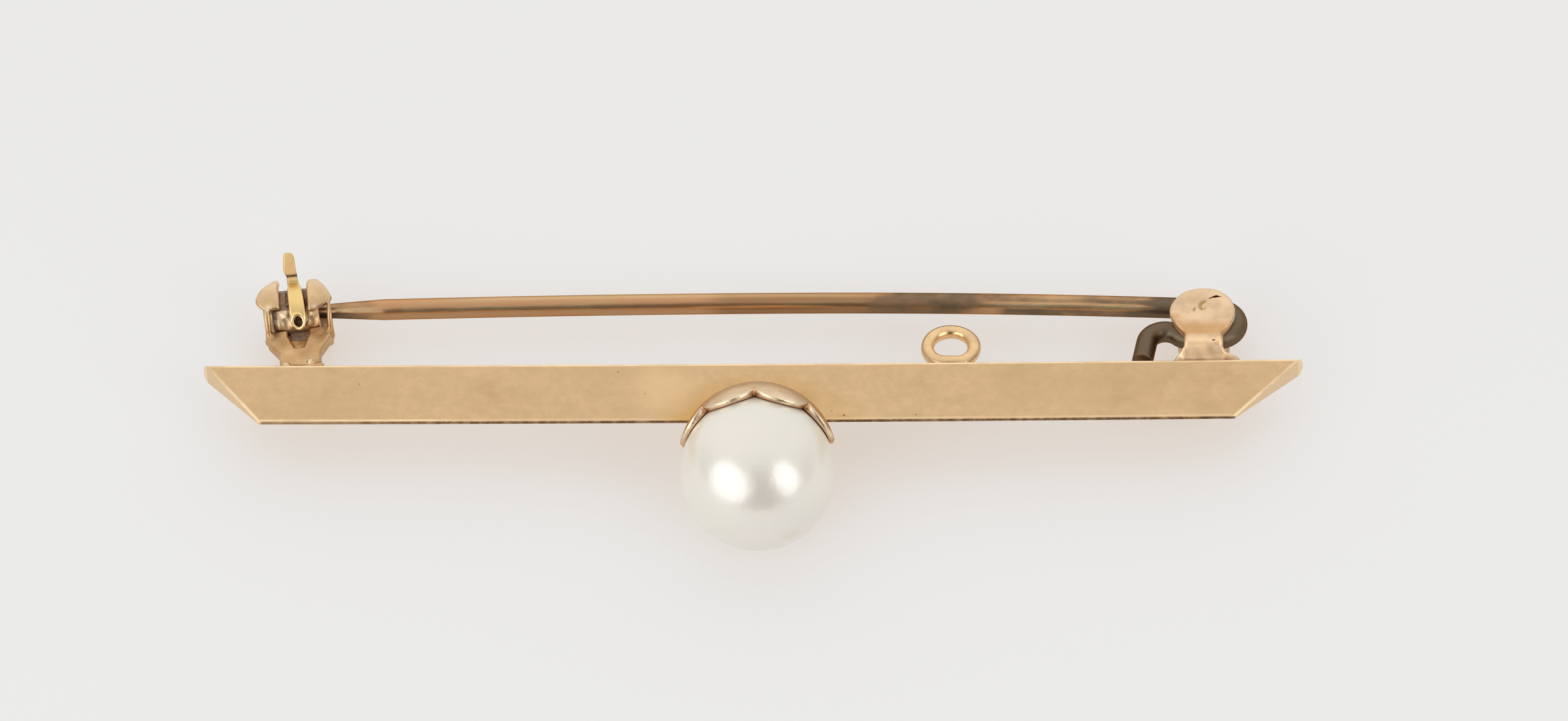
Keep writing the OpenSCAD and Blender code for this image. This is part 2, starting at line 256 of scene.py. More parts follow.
def arc(centre, radius, start, end, count):
    """Points on a circle between two angles in radians: centre + radius (cos t, sin t)."""
    t = np.linspace(start, end, count)
    return np.array(centre) + radius * np.stack([np.cos(t), np.sin(t)], -1)


def full_turn(count):
    """Angles once round, without the last."""
    return np.arange(count) * 2 * math.pi / count


# Fields


def soft_max(a, b, blend):
    """The larger of two fields, with a rounded crease: max + h h blend / 4, h = 1 - |a - b| / blend."""
    h = np.clip(1 - np.abs(a - b) / blend, 0, 1)
    return np.maximum(a, b) + h * h * blend / 4


def soft_min(a, b, blend):
    """The smaller of two fields, with a filled crease."""
    return -soft_max(-a, -b, blend)


def box_field(x, y, half_x, half_y):
    """Distance to a flat box: the length outside, and the nearer side inside."""
    dx, dy = np.abs(x) - half_x, np.abs(y) - half_y
    return np.hypot(np.maximum(dx, 0), np.maximum(dy, 0)) + np.minimum(np.maximum(dx, dy), 0)


def outline_field(x, y, corners, blend):
    """Distance field of an outline without hollows, whose corners are in millimetres and run anticlockwise:
    the largest distance beyond the line of any side, with rounded corners."""
    field = None
    for (ax, ay), (bx, by) in zip(corners, corners[1:] + corners[:1]):
        length = math.hypot(bx - ax, by - ay)
        side = ((x - ax * MM) * (by - ay) - (y - ay * MM) * (bx - ax)) / length
        field = side if field is None else soft_max(field, side, blend)
    return field


def ease(t):
    """A smooth step from 0 to 1 as t goes from 0 to 1: t t (3 - 2 t)."""
    t = np.clip(t, 0, 1)
    return t * t * (3 - 2 * t)


def hump(value, middle, width, power=2):
    """A smooth hump that is 1 at the middle: exp(-((value - middle) / width) ** power)."""
    return np.exp(-(((value - middle) / width) ** power))


def ball_field(x, y, z, at, radius):
    """Distance to a ball."""
    return np.sqrt((x - at[0]) ** 2 + (y - at[1]) ** 2 + (z - at[2]) ** 2) - radius


def growth(field, points, step):
    """How much the field grows along x, y and z at each point, from one step before it to one step after."""
    return np.stack([field(*(points + move).T) - field(*(points - move).T) for move in np.eye(3) * step], -1)


def skin(field, low, high, cell):
    """Points and quads on the surface where field(x, y, z) is nought. Each cell of a cubic grid that the
    surface crosses holds one point, at the mean of the crossings on the cell's edges. Each grid edge that
    is crossed makes one quad of the four cells round it. The points are then moved onto the surface,
    twice, by field / gradient."""
    axes = [np.arange(a, b + cell, cell) for a, b in zip(low, high)]
    value = field(*np.meshgrid(*axes, indexing="ij"))
    cells = tuple(n - 1 for n in value.shape)
    total, count = np.zeros(cells + (3,)), np.zeros(cells)
    crossings = []
    for k in range(3):
        near, far = [slice(None)] * 3, [slice(None)] * 3
        near[k], far[k] = slice(0, -1), slice(1, None)
        a, b = value[tuple(near)], value[tuple(far)]
        crossed = (a < 0) != (b < 0)
        place = np.stack(np.meshgrid(*[axes[i][: a.shape[i]] for i in range(3)], indexing="ij"), -1)
        place[..., k] += cell * np.where(crossed, a / np.where(crossed, a - b, 1), 0)
        u, v = [i for i in range(3) if i != k]
        for du in (0, 1):
            for dv in (0, 1):
                part = [slice(None)] * 3
                part[u] = slice(du, du + cells[u])
                part[v] = slice(dv, dv + cells[v])
                part = tuple(part)
                total += place[part] * crossed[part][..., None]
                count += crossed[part]
        crossings.append((k, crossed, a < 0))
    used = count > 0
    number = np.cumsum(used).reshape(cells) - 1
    points = total[used] / count[used][:, None]
    faces = []
    for k, crossed, leaving in crossings:
        u, v = (k + 1) % 3, (k + 2) % 3
        at = np.argwhere(crossed)
        at = at[(at[:, u] > 0) & (at[:, v] > 0) & (at[:, u] < cells[u]) & (at[:, v] < cells[v])]
        out = leaving[tuple(at.T)]
        quad = []
        for du, dv in ((1, 1), (0, 1), (0, 0), (1, 0)):
            corner = at.copy()
            corner[:, u] -= du
            corner[:, v] -= dv
            quad.append(number[tuple(corner.T)])
        quad = np.stack(quad, -1)
        faces.append(np.where(out[:, None], quad, quad[:, ::-1]))
    step = cell / 4
    for _ in range(2):
        slope = growth(field, points, step) / (2 * step)
        steep = np.maximum((slope**2).sum(-1), 0.25)
        move = np.clip(field(*points.T) / steep, -cell / 2, cell / 2)
        points = points - slope * move[:, None]
    return points, np.vstack(faces)


def hollows(field, points, reach):
    """How hollow each point lies: 0 on an open surface and 1 in a pit. It compares the field at a distance
    reach along the outward slope with that distance."""
    slope = growth(field, points, reach / 8)
    slope /= np.maximum(np.linalg.norm(slope, axis=-1, keepdims=True), 1e-12)
    out = points + slope * reach
    return np.clip(1 - field(*out.T) / reach, 0, 1)


# Materials


class Recipe:
    """A procedural material, put together one node at a time."""

    def __init__(self, name):
        self.material = bpy.data.materials.new(name)
        self.material.use_nodes = True
        self.tree = self.material.node_tree
        self.shader = self.tree.nodes["Principled BSDF"]
        self.place = self.node("TexCoord").outputs["Object"]

    def node(self, kind, settings=None, **inputs):
        """Adds a node, sets its own settings, and sets or links its inputs. They are named with _ for a
        space, or n0 and n1 for the first and the second."""
        made = self.tree.nodes.new("ShaderNode" + kind)
        for key, value in (settings or {}).items():
            setattr(made, key, value)
        for key, value in inputs.items():
            numbered = key in ("n0", "n1")
            self.feed(made.inputs[int(key[1]) if numbered else key.replace("_", " ")], value)
        return made

    def feed(self, socket, value):
        """Links a node's output to a socket, or sets the socket's own value."""
        if isinstance(value, bpy.types.NodeSocket):
            self.tree.links.new(value, socket)
        else:
            socket.default_value = value

    def set(self, **inputs):
        """Sets or links the shader's own sockets."""
        for key, value in inputs.items():
            self.feed(self.shader.inputs[key.replace("_", " ")], value)

    def noise(self, grain, detail, rough, stretch=(1, 1, 1), shift=(0, 0, 0)):
        """Clouds whose patches are about grain metres across, stretched along an axis."""
        scale = tuple(1 / (grain * s) for s in stretch)
        spot = self.node("Mapping", Vector=self.place, Location=shift, Scale=scale).outputs[0]
        return self.node("TexNoise", Vector=spot, Scale=1.0, Detail=detail, Roughness=rough).outputs["Fac"]

    def pits(self, spacing, width):
        """Scattered pits: 1 near a cell's middle, falling to 0 at width times the cell."""
        spot = self.node("Mapping", Vector=self.place, Scale=(1 / spacing,) * 3).outputs[0]
        cell = self.node("TexVoronoi", Vector=spot, Scale=1.0)
        return self.window(cell.outputs["Distance"], width, width * 0.4)

    def away(self, at):
        """Distance from a point, given in the brooch's own axes in millimetres."""
        centre = tuple(lay(np.array([at]) * MM)[0])
        return self.node("VectorMath", {"operation": "DISTANCE"}, n0=self.place, n1=centre).outputs["Value"]

    def window(self, value, start, end, low=0.0, high=1.0):
        """A smooth step from low at start to high at end."""
        made = self.node("MapRange", {"interpolation_type": "SMOOTHSTEP"}, Value=value)
        for key, number in zip(("From Min", "From Max", "To Min", "To Max"), (start, end, low, high)):
            made.inputs[key].default_value = number
        return made.outputs["Result"]

    def note(self, name):
        """A value that the mesh holds at its points."""
        return self.node("Attribute", {"attribute_name": name}).outputs["Fac"]

    def maths(self, operation, a, b):
        """A Math node on two values, such as ADD or MAXIMUM."""
        return self.node("Math", {"operation": operation}, n0=a, n1=b).outputs[0]

    def times(self, a, b):
        """The product of two values."""
        return self.maths("MULTIPLY", a, b)

    def mix(self, share, a, b):
        """A colour between a and b."""
        made = self.tree.nodes.new("ShaderNodeMix")
        made.data_type = "RGBA"
        self.feed(made.inputs[0], share)
        for socket, value in ((made.inputs[6], a), (made.inputs[7], b)):
            self.feed(socket, value if isinstance(value, bpy.types.NodeSocket) else (*value, 1.0))
        return made.outputs[2]

    def bump(self, height, depth, before=None):
        """Bumps of that depth in metres, on top of the bumps before."""
        made = self.node("Bump", Height=height, Strength=1.0, Distance=depth)
        if before is not None:
            self.feed(made.inputs["Normal"], before)
        return made.outputs["Normal"]


def tint(base, factor):
    """A colour made lighter or darker."""
    return tuple(min(1.0, c * factor) for c in base)


# Marks on the bar's upper flank, in millimetres: x, y and radius of the pits, x, y, reach and share of the
# smudges, and x and y of the one brighter place.
BAR_PITS = (
    (-13.94, -2.62, 0.07), (-18.5, -1.63, 0.06), (-17.81, -1.1, 0.05), (3.6, -2.8, 0.1), (-11.7, -1.84, 0.05),
    (9.2, -0.9, 0.04), (14.6, -2.2, 0.05), (-6.1, -0.5, 0.045),
)
BAR_SMUDGES = (
    (-11.7, -1.9, 1.7, 0.55), (2.4, -2.0, 0.9, 0.5), (17.4, -1.7, 2.2, 0.25), (20.9, -1.4, 2.2, 0.5),
)
BAR_BRIGHT = (-4, -1.5)


def on_flank(x, y):
    """A point on the bar's upper flank, in millimetres: the flank narrows evenly to the knife edge."""
    bar = bpy.context.scene.brooch_bar
    return (x, y, bar.back / 2 / MM * (1 + y * MM / bar.depth))


def bar_gold():
    """Satin gold with faint clouds, smudges and one brighter place, warm solder and a dark seam round the
    cup, a painted highlight line and painted shade along the knife edge, painted highlights along the back's
    corners and round the ends, end faces painted paler as if lit, small pits, and scratches that run mostly
    along the bar."""
    hues, pearl = bpy.context.scene.brooch_colours, bpy.context.scene.brooch_pearl
    bar = bpy.context.scene.brooch_bar
    mat = Recipe("bar_gold")
    clouds = mat.noise(2.2 * MM, 4, 0.55, stretch=(1.6, 1, 1))
    smudge = mat.noise(0.7 * MM, 3, 0.6, stretch=(2, 1, 1), shift=(3, 1, 0))
    body = mat.mix(mat.window(clouds, 0.35, 0.7), tint(hues.bar, 1.05), tint(hues.bar, 0.95))
    body = mat.mix(mat.window(smudge, 0.54, 0.74, 0, 0.3), body, tint(hues.bar, 0.8))
    mottle = mat.noise(0.4 * MM, 3, 0.6, shift=(1, 6, 2))
    body = mat.mix(mat.window(mottle, 0.35, 0.65, 0, 0.5), body, tint(hues.bar, 0.87))
    for x, y, reach, share in BAR_SMUDGES:
        near = mat.window(mat.away(on_flank(x, y)), reach * MM, 0.1 * MM, 0, share)
        near = mat.times(near, mat.window(smudge, 0.3, 0.6))
        body = mat.mix(near, body, tuple(c * s for c, s in zip(hues.bar, (0.84, 0.78, 0.72))))
    # Painted highlights: a bright line along the rounded knife edge, a line along the back's corners, and a
    # line round the ends' bevels.
    edge = mat.note("from_edge")
    line = mat.times(mat.window(edge, 0.07, 0.11), mat.window(edge, 0.22, 0.14, 0, 0.75))
    along = mat.node("SeparateXYZ", Vector=mat.place).outputs["X"]
    line = mat.times(line, mat.window(along, -13 * MM, -15 * MM, 0.45, 1))
    depth = bar.depth / MM
    back = mat.times(mat.window(edge, depth - 0.13, depth - 0.05), 0.9)
    # Painted light: the end faces are made paler, as if lit.
    body = mat.mix(mat.times(mat.note("end_face_light"), 0.75), body, (0.9, 0.66, 0.42))
    painted_highlight = mat.maths("MAXIMUM", mat.maths("MAXIMUM", line, back), mat.note("end_highlight"))
    painted_highlight = mat.times(painted_highlight, mat.window(smudge, 0.3, 0.6, 0.5, 1))
    body = mat.mix(painted_highlight, body, (1.0, 0.78, 0.5))
    cup = mat.away((pearl.along / MM, (pearl.cup_shift - pearl.out) / MM, 0))
    glow = mat.window(cup, pearl.cup_outside + 2.3 * MM, pearl.cup_outside + 0.3 * MM, 0, 1)
    glow = mat.times(glow, mat.window(mat.away((2.2, -4, 0)), 1.5 * MM, 3.6 * MM, 0.35, 1))
    bright = mat.away(on_flank(*BAR_BRIGHT))
    body = mat.mix(mat.window(bright, 2.2 * MM, 0.4 * MM, 0, 0.8), body, tint(hues.bar, 1.15))
    glow = mat.times(glow, mat.window(bright, 1.0 * MM, 2.4 * MM, 0.5, 1))
    glow = mat.times(glow, mat.window(clouds, 0.3, 0.55, 0.6, 1))
    body = mat.mix(glow, body, tuple(hues.solder))
    pits = mat.pits(2.1 * MM, 0.03)
    for x, y, wide in BAR_PITS:
        spot = mat.window(mat.away(on_flank(x, y)), wide * MM, wide * 0.5 * MM)
        pits = mat.maths("MAXIMUM", pits, spot)
    seam = mat.window(cup, pearl.cup_outside + 0.07 * MM, pearl.cup_outside + 0.02 * MM, 0, 0.85)
    # Painted shade: a dark line at the very knife edge, where its lower side turns away into shade.
    knife = mat.times(mat.window(edge, 0.08, 0.045, 0, 0.75), mat.window(mottle, 0.35, 0.6, 0.45, 1))
    knife = mat.times(knife, mat.window(along, -19 * MM, -16.5 * MM, 0.35, 1))
    dirt_and_shade = mat.maths("MAXIMUM", mat.times(pits, 0.85), mat.maths("MAXIMUM", seam, knife))
    body = mat.mix(dirt_and_shade, body, tuple(hues.grime_and_shade))
    scratches = mat.noise(0.06 * MM, 2, 0.5, stretch=(40, 1, 1), shift=(0, 5, 2))
    rough = mat.window(smudge, 0.3, 0.7, 0.3, 0.42)
    soft = mat.bump(clouds, 0.03 * MM)
    soft = mat.bump(scratches, 0.0012 * MM, soft)
    mat.set(Base_Color=body, Metallic=1.0, Roughness=rough, Normal=mat.bump(pits, -0.02 * MM, soft))
    return mat.material


def rose_gold(name, base, rough_low, rough_high, grime_and_shade=None, inks=None, rim=(1, 1, 1)):
    """Pink cast gold: cloudy, slightly uneven, warm where the mesh notes solder glow, warm tones and warm
    painted
    shade, and brown where the mesh notes it: grime in the hollows and painted shade in shaded places.
    inks gives the colours of parts that the mesh notes under other names. rim tints the gloss of what is seen
    edge-on."""
    hues = bpy.context.scene.brooch_colours
    mat = Recipe(name)
    clouds = mat.noise(0.8 * MM, 4, 0.6)
    grain = mat.noise(0.12 * MM, 3, 0.6, shift=(2, 7, 1))
    body = mat.mix(mat.window(clouds, 0.3, 0.7), tint(base, 1.06), tint(base, 0.86))
    body = mat.mix(mat.note("warm"), body, tuple(c * s for c, s in zip(base, (0.82, 0.66, 0.47))))
    for note, ink in (inks or {}).items():
        body = mat.mix(mat.note(note), body, ink)
    # The hollow note carries grime in the hollows and painted shade in shaded places, such as inside the
    # sleeve, between the lugs, round the pearl and in the lock's slot.
    dirt_and_shade = mat.times(mat.note("hollow"), mat.window(grain, 0.25, 0.6, 0.75, 1))
    body = mat.mix(dirt_and_shade, body, tuple(grime_and_shade or hues.grime_and_shade))
    rough = mat.window(clouds, 0.3, 0.7, rough_low, rough_high)
    rough = mat.maths("ADD", rough, mat.times(mat.note("dull"), 0.28))
    uneven = mat.bump(clouds, 0.04 * MM)
    mat.set(
        Base_Color=body, Metallic=1.0, Roughness=rough, Specular_Tint=(*rim, 1.0),
        Normal=mat.bump(grain, 0.003 * MM, uneven),
    )
    return mat.material


def pin_metal():
    """Worn wire: bronze with yellow streaks and a drawn grain along the wire. The mesh notes where it has a
    painted highlight on its upper back side, painted brown shade, painted bright streaks, and olive tarnished
    patches with painted shade on its sides, and clouds break these up."""
    hues = bpy.context.scene.brooch_colours
    mat = Recipe("pin_metal")
    streaks = mat.noise(0.35 * MM, 4, 0.6, stretch=(7, 1, 1))
    clouds = mat.noise(1.3 * MM, 4, 0.6, stretch=(1.8, 1, 1), shift=(4, 0, 3))
    body = mat.mix(mat.window(streaks, 0.42, 0.68, 0, 0.7), tuple(hues.bronze), tint(hues.bar, 0.95))
    # Painted highlight on the wire's upper back side.
    painted_highlight = mat.times(mat.note("painted_highlight"), mat.window(clouds, 0.3, 0.6, 0.6, 1))
    body = mat.mix(painted_highlight, body, tint(hues.bar, 1.12))
    # Painted shade: brown darkening above and below the wire's middle.
    body = mat.mix(mat.note("brown"), body, tint(hues.bronze, 0.45))
    # Painted highlights in bright streaks along the wire's middle.
    streak_highlight = mat.times(mat.note("streak_highlight"), mat.window(streaks, 0.3, 0.6, 0.4, 1))
    body = mat.mix(streak_highlight, body, (1.0, 0.76, 0.42))
    # Olive tarnished patches, with painted shade on the wire's sides carried in the same note.
    shade = mat.window(mat.maths("ADD", mat.note("tarnish_and_shade"), mat.times(clouds, 0.9)), 0.62, 1.05)
    body = mat.mix(shade, body, tuple(hues.olive))
    grain = mat.noise(0.05 * MM, 2, 0.5, stretch=(30, 1, 1))
    rough = mat.window(shade, 0, 1, 0.26, 0.42)
    mat.set(
        Base_Color=body, Metallic=1.0, Roughness=rough, Specular_Tint=(0.7, 0.5, 0.36, 1.0),
        Normal=mat.bump(grain, 0.0015 * MM, mat.bump(streaks, 0.012 * MM)),
    )
    return mat.material


def nacre():
    """Pearl: a cream body with faint clouds, a darker crown, a right side painted paler to lighten it and a
    small brown flaw, under layers that reflect strongly, and a clear coat."""
    hues, pearl = bpy.context.scene.brooch_colours, bpy.context.scene.brooch_pearl
    mat = Recipe("nacre")
    clouds = mat.noise(3.5 * MM, 2, 0.4)
    body = mat.mix(mat.window(clouds, 0.35, 0.65), tuple(hues.pearl), (0.775, 0.72, 0.63))
    crown = mat.away((pearl.along / MM, -pearl.out / MM - 0.24, 3.49))
    body = mat.mix(mat.window(crown, 2.8 * MM, 0.9 * MM, 0, 0.6), body, (0.64, 0.6, 0.49))
    # Painted light: a paler patch on the pearl's right side.
    side = mat.away((pearl.along / MM + 2.7, -pearl.out / MM - 1.6, 1.55))
    body = mat.mix(mat.window(side, 2.4 * MM, 0.5 * MM, 0, 0.8), body, (0.86, 0.8, 0.7))
    flaw = mat.away((pearl.along / MM + 1.47, -pearl.out / MM - 3.03, -0.95))
    body = mat.mix(mat.window(flaw, 0.6 * MM, 0.1 * MM, 0, 0.5), body, (0.7, 0.57, 0.42))
    fine = mat.noise(1.3 * MM, 3, 0.5, shift=(1, 2, 3))
    mat.set(
        Base_Color=body, Roughness=0.29, IOR=3.15, Coat_Weight=0.6, Coat_Roughness=0.2, Coat_IOR=1.6,
        Normal=mat.bump(fine, 0.035 * MM, mat.bump(mat.noise(0.5 * MM, 3, 0.55), 0.006 * MM)),
    )
    return mat.material


def floor_glass():
    """Matte pale glass that is lit a little from below, so that shadows stay faint."""
    hues = bpy.context.scene.brooch_colours
    mat = Recipe("floor_glass")
    mat.set(
        Base_Color=(*hues.floor, 1.0), Roughness=0.9, Specular_IOR_Level=0.1,
        Emission_Color=(0.6, 0.485, 0.41, 1.0), Emission_Strength=1.0,
    )
    return mat.material


# Pieces


# Points along a flank of the bar's section, rows along the bar, and rows round each of its ends.
FLANK_POINTS = 30
BAR_ROWS = 321
END_ROWS = 7


def bar_section():
    """The bar's section in y and z, and its outward normals: arcs on the domed back, on two worn corners and
    on the knife edge, joined by straight flanks. The corners touch the back's circle and the flanks, and a
    point that falls on the one before it is left out."""
    bar = bpy.context.scene.brooch_bar
    half, run = bar.back / 2, bar.depth - bar.edge
    flank = math.atan(half / run) - math.asin(bar.edge / math.hypot(half, run))
    dome = (half**2 + bar.dome**2) / (2 * bar.dome)
    top = math.pi / 2 + flank
    heart = bar.dome - dome
    lift = top - math.acos((half * math.sin(top) - bar.corner - heart * math.cos(top)) / (dome - bar.corner))
    corner = np.array([heart, 0.0]) + (dome - bar.corner) * np.array([math.cos(lift), math.sin(lift)])
    pieces = [
        (np.array([heart, 0.0]), dome, -lift, lift, 13),
        (corner, bar.corner, lift, top, 8),
        (np.array([bar.edge - bar.depth, 0.0]), bar.edge, top, 2 * math.pi - top, 13),
        (corner * [1, -1], bar.corner, -top, -lift, 8),
    ]
    rows, normals = [], []
    for at, radius, start, end, count in pieces:
        t = np.linspace(start, end, count)
        normal = np.stack([np.cos(t), np.sin(t)], -1)
        here = at + radius * normal
        if rows and np.linalg.norm(here[0] - rows[-1][-1]) > bar.depth / 2:
            share = np.linspace(0, 1, FLANK_POINTS + 2)[1:-1, None]
            rows.append(rows[-1][-1] * (1 - share) + here[0] * share)
            normals.append(np.repeat(normals[-1][-1:], FLANK_POINTS, 0))
        rows.append(here)
        normals.append(normal)
    rows, normals = np.vstack(rows), np.vstack(normals)
    apart = np.linalg.norm(rows - np.roll(rows, 1, 0), axis=1) > 1e-9
    return rows[apart], normals[apart]


def make_bar(material):
    """The bar: its section carried along x between two slanted planes, with rounded ends. The knife edge is
    cut back to the middle of the cup's wall, and the whole is bent forwards by the sag. Its notes are the
    distance from the knife edge in millimetres, the end faces, painted paler as if lit, and the painted
    highlight round them."""
    bar, pearl = bpy.context.scene.brooch_bar, bpy.context.scene.brooch_pearl
    section, normal = bar_section()
    y, z = section.T
    share = np.linspace(0, 1, BAR_ROWS)[:, None]
    turn = np.linspace(0, math.pi / 2, END_ROWS)[:, None]
    rounded_off, step_in = bar.bevel * (1 - np.sin(turn)), bar.bevel * (1 - np.cos(turn))
    shrink = np.vstack([rounded_off, np.zeros((BAR_ROWS - 2, 1)), rounded_off[::-1]])
    rows_y, rows_z = y - normal[:, 0] * shrink, z - normal[:, 1] * shrink
    wall = (pearl.cup_inside + pearl.cup_outside) / 2

    def end(way, row_y):
        """Where the slanted end lies, on one row or more: way is -1 at the catch and 1 at the hinge."""
        cut = bar.cut_catch if way < 0 else bar.cut_hinge
        return way * (bar.length / 2 - cut * (bar.dome - row_y) / (bar.dome + bar.depth))

    left, right = end(-1, rows_y), end(1, rows_y)
    x = np.empty_like(left)
    x[:END_ROWS] = left[:END_ROWS] + step_in
    inner = slice(END_ROWS - 1, 1 - END_ROWS)
    x[inner] = (left[inner] + bar.bevel) * (1 - share) + (right[inner] - bar.bevel) * share
    x[-END_ROWS:] = right[-END_ROWS:] - step_in[::-1]
    middle = -bar.depth * 0.4
    for scale in (0.96, 0.4):
        ring_y, ring_z = middle + (rows_y[:1] - middle) * scale, rows_z[:1] * scale
        rim_y, rim_z = middle + (rows_y[-1:] - middle) * scale, rows_z[-1:] * scale
        x = np.vstack([end(-1, ring_y), x, end(1, rim_y)])
        rows_y, rows_z = np.vstack([ring_y, rows_y, rim_y]), np.vstack([ring_z, rows_z, rim_z])
    reach = np.sqrt(np.maximum(wall**2 - (x - pearl.along) ** 2, 0))
    ridge = np.where(reach > 0, pearl.out - pearl.cup_shift / 2 - reach, bar.depth)
    rows_y = np.maximum(rows_y, -np.minimum(ridge, bar.depth))
    grid = np.stack([x, rows_y - sag_at(x), rows_z], -1)
    along = np.minimum(np.arange(len(x)), np.arange(len(x))[::-1])[:, None] - 2
    # Painted light: the end faces are noted to be made paler, with a highlight round their bevels that grows
    # stronger towards the knife edge.
    highlight_strength = 0.5 + 0.5 * ease((-y / bar.depth - 0.3) / 0.4)
    notes = {
        "from_edge": ((bar.depth + rows_y) / MM, [bar.depth / 2 / MM] * 2),
        "end_face_light": (np.broadcast_to(ease((5 - along) / 3), x.shape), [1, 1]),
        "end_highlight": (ease((along - 0.5) / 2) * (along < 6.5) * highlight_strength, [0, 0]),
    }
    return grid_piece("bar", grid, "brooch", material, notes)


def make_cup(material):
    """The scalloped cup: from its back over the outer ball to the rim, round the rim and back over the inner
    ball. The rim lies at q = centre - sqrt(r r - t t) behind the pearl, for the distance t from a scallop's
    middle. The petal below the widest line on each side is cut back."""
    pearl = bpy.context.scene.brooch_pearl
    theta = full_turn(384)
    pitch = 2 * math.pi / pearl.scallops
    off = (theta + pearl.turn) % pitch - pitch / 2
    rim_r = math.sqrt(pearl.cup_outside**2 - (pearl.notch - pearl.cup_shift) ** 2)
    half, rise = rim_r * math.sin(pitch / 2), pearl.notch - pearl.tip
    round_r = (rise**2 + half**2) / (2 * rise)
    rim = pearl.tip + round_r - np.sqrt(np.maximum(round_r**2 - (rim_r * np.sin(off)) ** 2, 0))
    petal_cut = 0.9 * MM
    for low in (theta + pearl.turn - math.radians(90), math.radians(270) - pearl.turn - theta):
        rim = rim + petal_cut * ease(low / pitch * 5) * ease((1 - low / pitch) * 5)
    lip = 0.11 * MM
    outer = np.arccos((rim + lip - pearl.cup_shift) / pearl.cup_outside)
    inner = np.arccos(rim / pearl.cup_inside)
    share = (np.linspace(0.004, 1, 60) ** 0.8)[:, None]
    out_q = pearl.cup_shift + pearl.cup_outside * np.cos(outer * share)
    out_r = pearl.cup_outside * np.sin(outer * share)
    in_q = pearl.cup_inside * np.cos(inner * share[::-1])
    close = 0.055 * MM * np.exp(-(in_q - in_q[0]) / (0.5 * MM))
    in_r = pearl.cup_inside * np.sin(inner * share[::-1]) - close * np.sin(inner)
    t = np.linspace(0, math.pi / 2, 9)[1:-1, None]
    lip_r = in_r[0] + (out_r[-1] - in_r[0]) * np.cos(t)
    lip_q = out_q[-1] - (out_q[-1] - in_q[0]) * np.sin(t)
    q, r = np.vstack([out_q, lip_q, in_q]), np.vstack([out_r, lip_r, in_r])
    grid = np.stack([pearl.along + r * np.sin(theta), q - pearl.out, r * np.cos(theta)], -1)
    # Painted shade and warm reflection on the lip, inside the cup and at the notches near the rim, round the
    # pearl.
    inside = np.repeat([0.0, 0.55, 0.9], [len(out_q), len(lip_q), len(in_q)])[:, None]
    inside[len(out_q) : len(out_q) + 5] = 0
    cusp = np.clip(1 - (pitch / 2 - np.abs(off)) * rim_r / (0.16 * MM), 0, 1)
    near_rim = np.exp(-(q - rim) / (0.3 * MM)) * 0.8
    hollow = np.clip(inside + cusp * near_rim, 0, 1)
    return grid_piece("pearl_cup", grid, "brooch", material, {"hollow": (hollow, [0, 0.8])})


def lathe(profile, steps):
    """A profile of places along an axis and radii r, turned round it: place, r cos t, r sin t."""
    t = full_turn(steps)
    place = np.repeat(profile[:, :1], steps, 1)
    return np.stack([place, profile[:, 1:] * np.cos(t), profile[:, 1:] * np.sin(t)], -1)


def rounded(start, end, radius, corner):
    """Half profile of a rod from start to end, with a quarter circle at each corner."""
    t = np.linspace(0, math.pi / 2, 6)
    step_in, heights = corner * (1 - np.cos(t)), radius - corner * (1 - np.sin(t))
    first = np.stack([start + step_in, heights], -1)
    last = np.stack([end - step_in, heights], -1)[::-1]
    return np.vstack([first, last])


def at_pearl(grid):
    """Carries a turned grid to the pearl, with its axis pointing forwards from the bar."""
    pearl = bpy.context.scene.brooch_pearl
    return np.stack([pearl.along + grid[..., 1], -pearl.out - grid[..., 0], grid[..., 2]], -1)


def make_peg(material):
    """The peg from the cup's wall into the pearl, a turned rod."""
    pearl = bpy.context.scene.brooch_pearl
    start = pearl.cup_inside + 0.2 * MM
    grid = at_pearl(lathe(rounded(-start, pearl.drill - 0.1 * MM - pearl.radius, pearl.peg, 0.1 * MM), 32))
    notes = {"hollow": (np.ones(grid.shape[:2]), [1, 1])}
    return grid_piece("pearl_peg", grid, "brooch", material, notes)


def make_pearl(material):
    """The pearl: a ball that is out of round by a few hundredths of a millimetre, with the drilled hole."""
    pearl = bpy.context.scene.brooch_pearl
    hole = pearl.peg + 0.04 * MM
    stop = math.pi - math.asin(hole / pearl.radius)
    t = np.linspace(0.01, stop, 120)
    ball = np.stack([pearl.radius * np.cos(t), pearl.radius * np.sin(t)], -1)
    depth = np.linspace(0, pearl.drill, 12)[1:]
    bore = np.stack([-pearl.radius + depth, np.full(len(depth), hole)], -1)
    grid = lathe(np.vstack([ball, bore]), 192)
    a, b, c = np.moveaxis(grid, -1, 0) / pearl.radius
    swell = 1 + 0.0035 * (a * b - 0.6 * b * c + 0.5 * a * a * c)
    swell[len(ball) :] = 1
    return grid_piece("pearl", at_pearl(grid * swell[..., None]), "brooch", material)


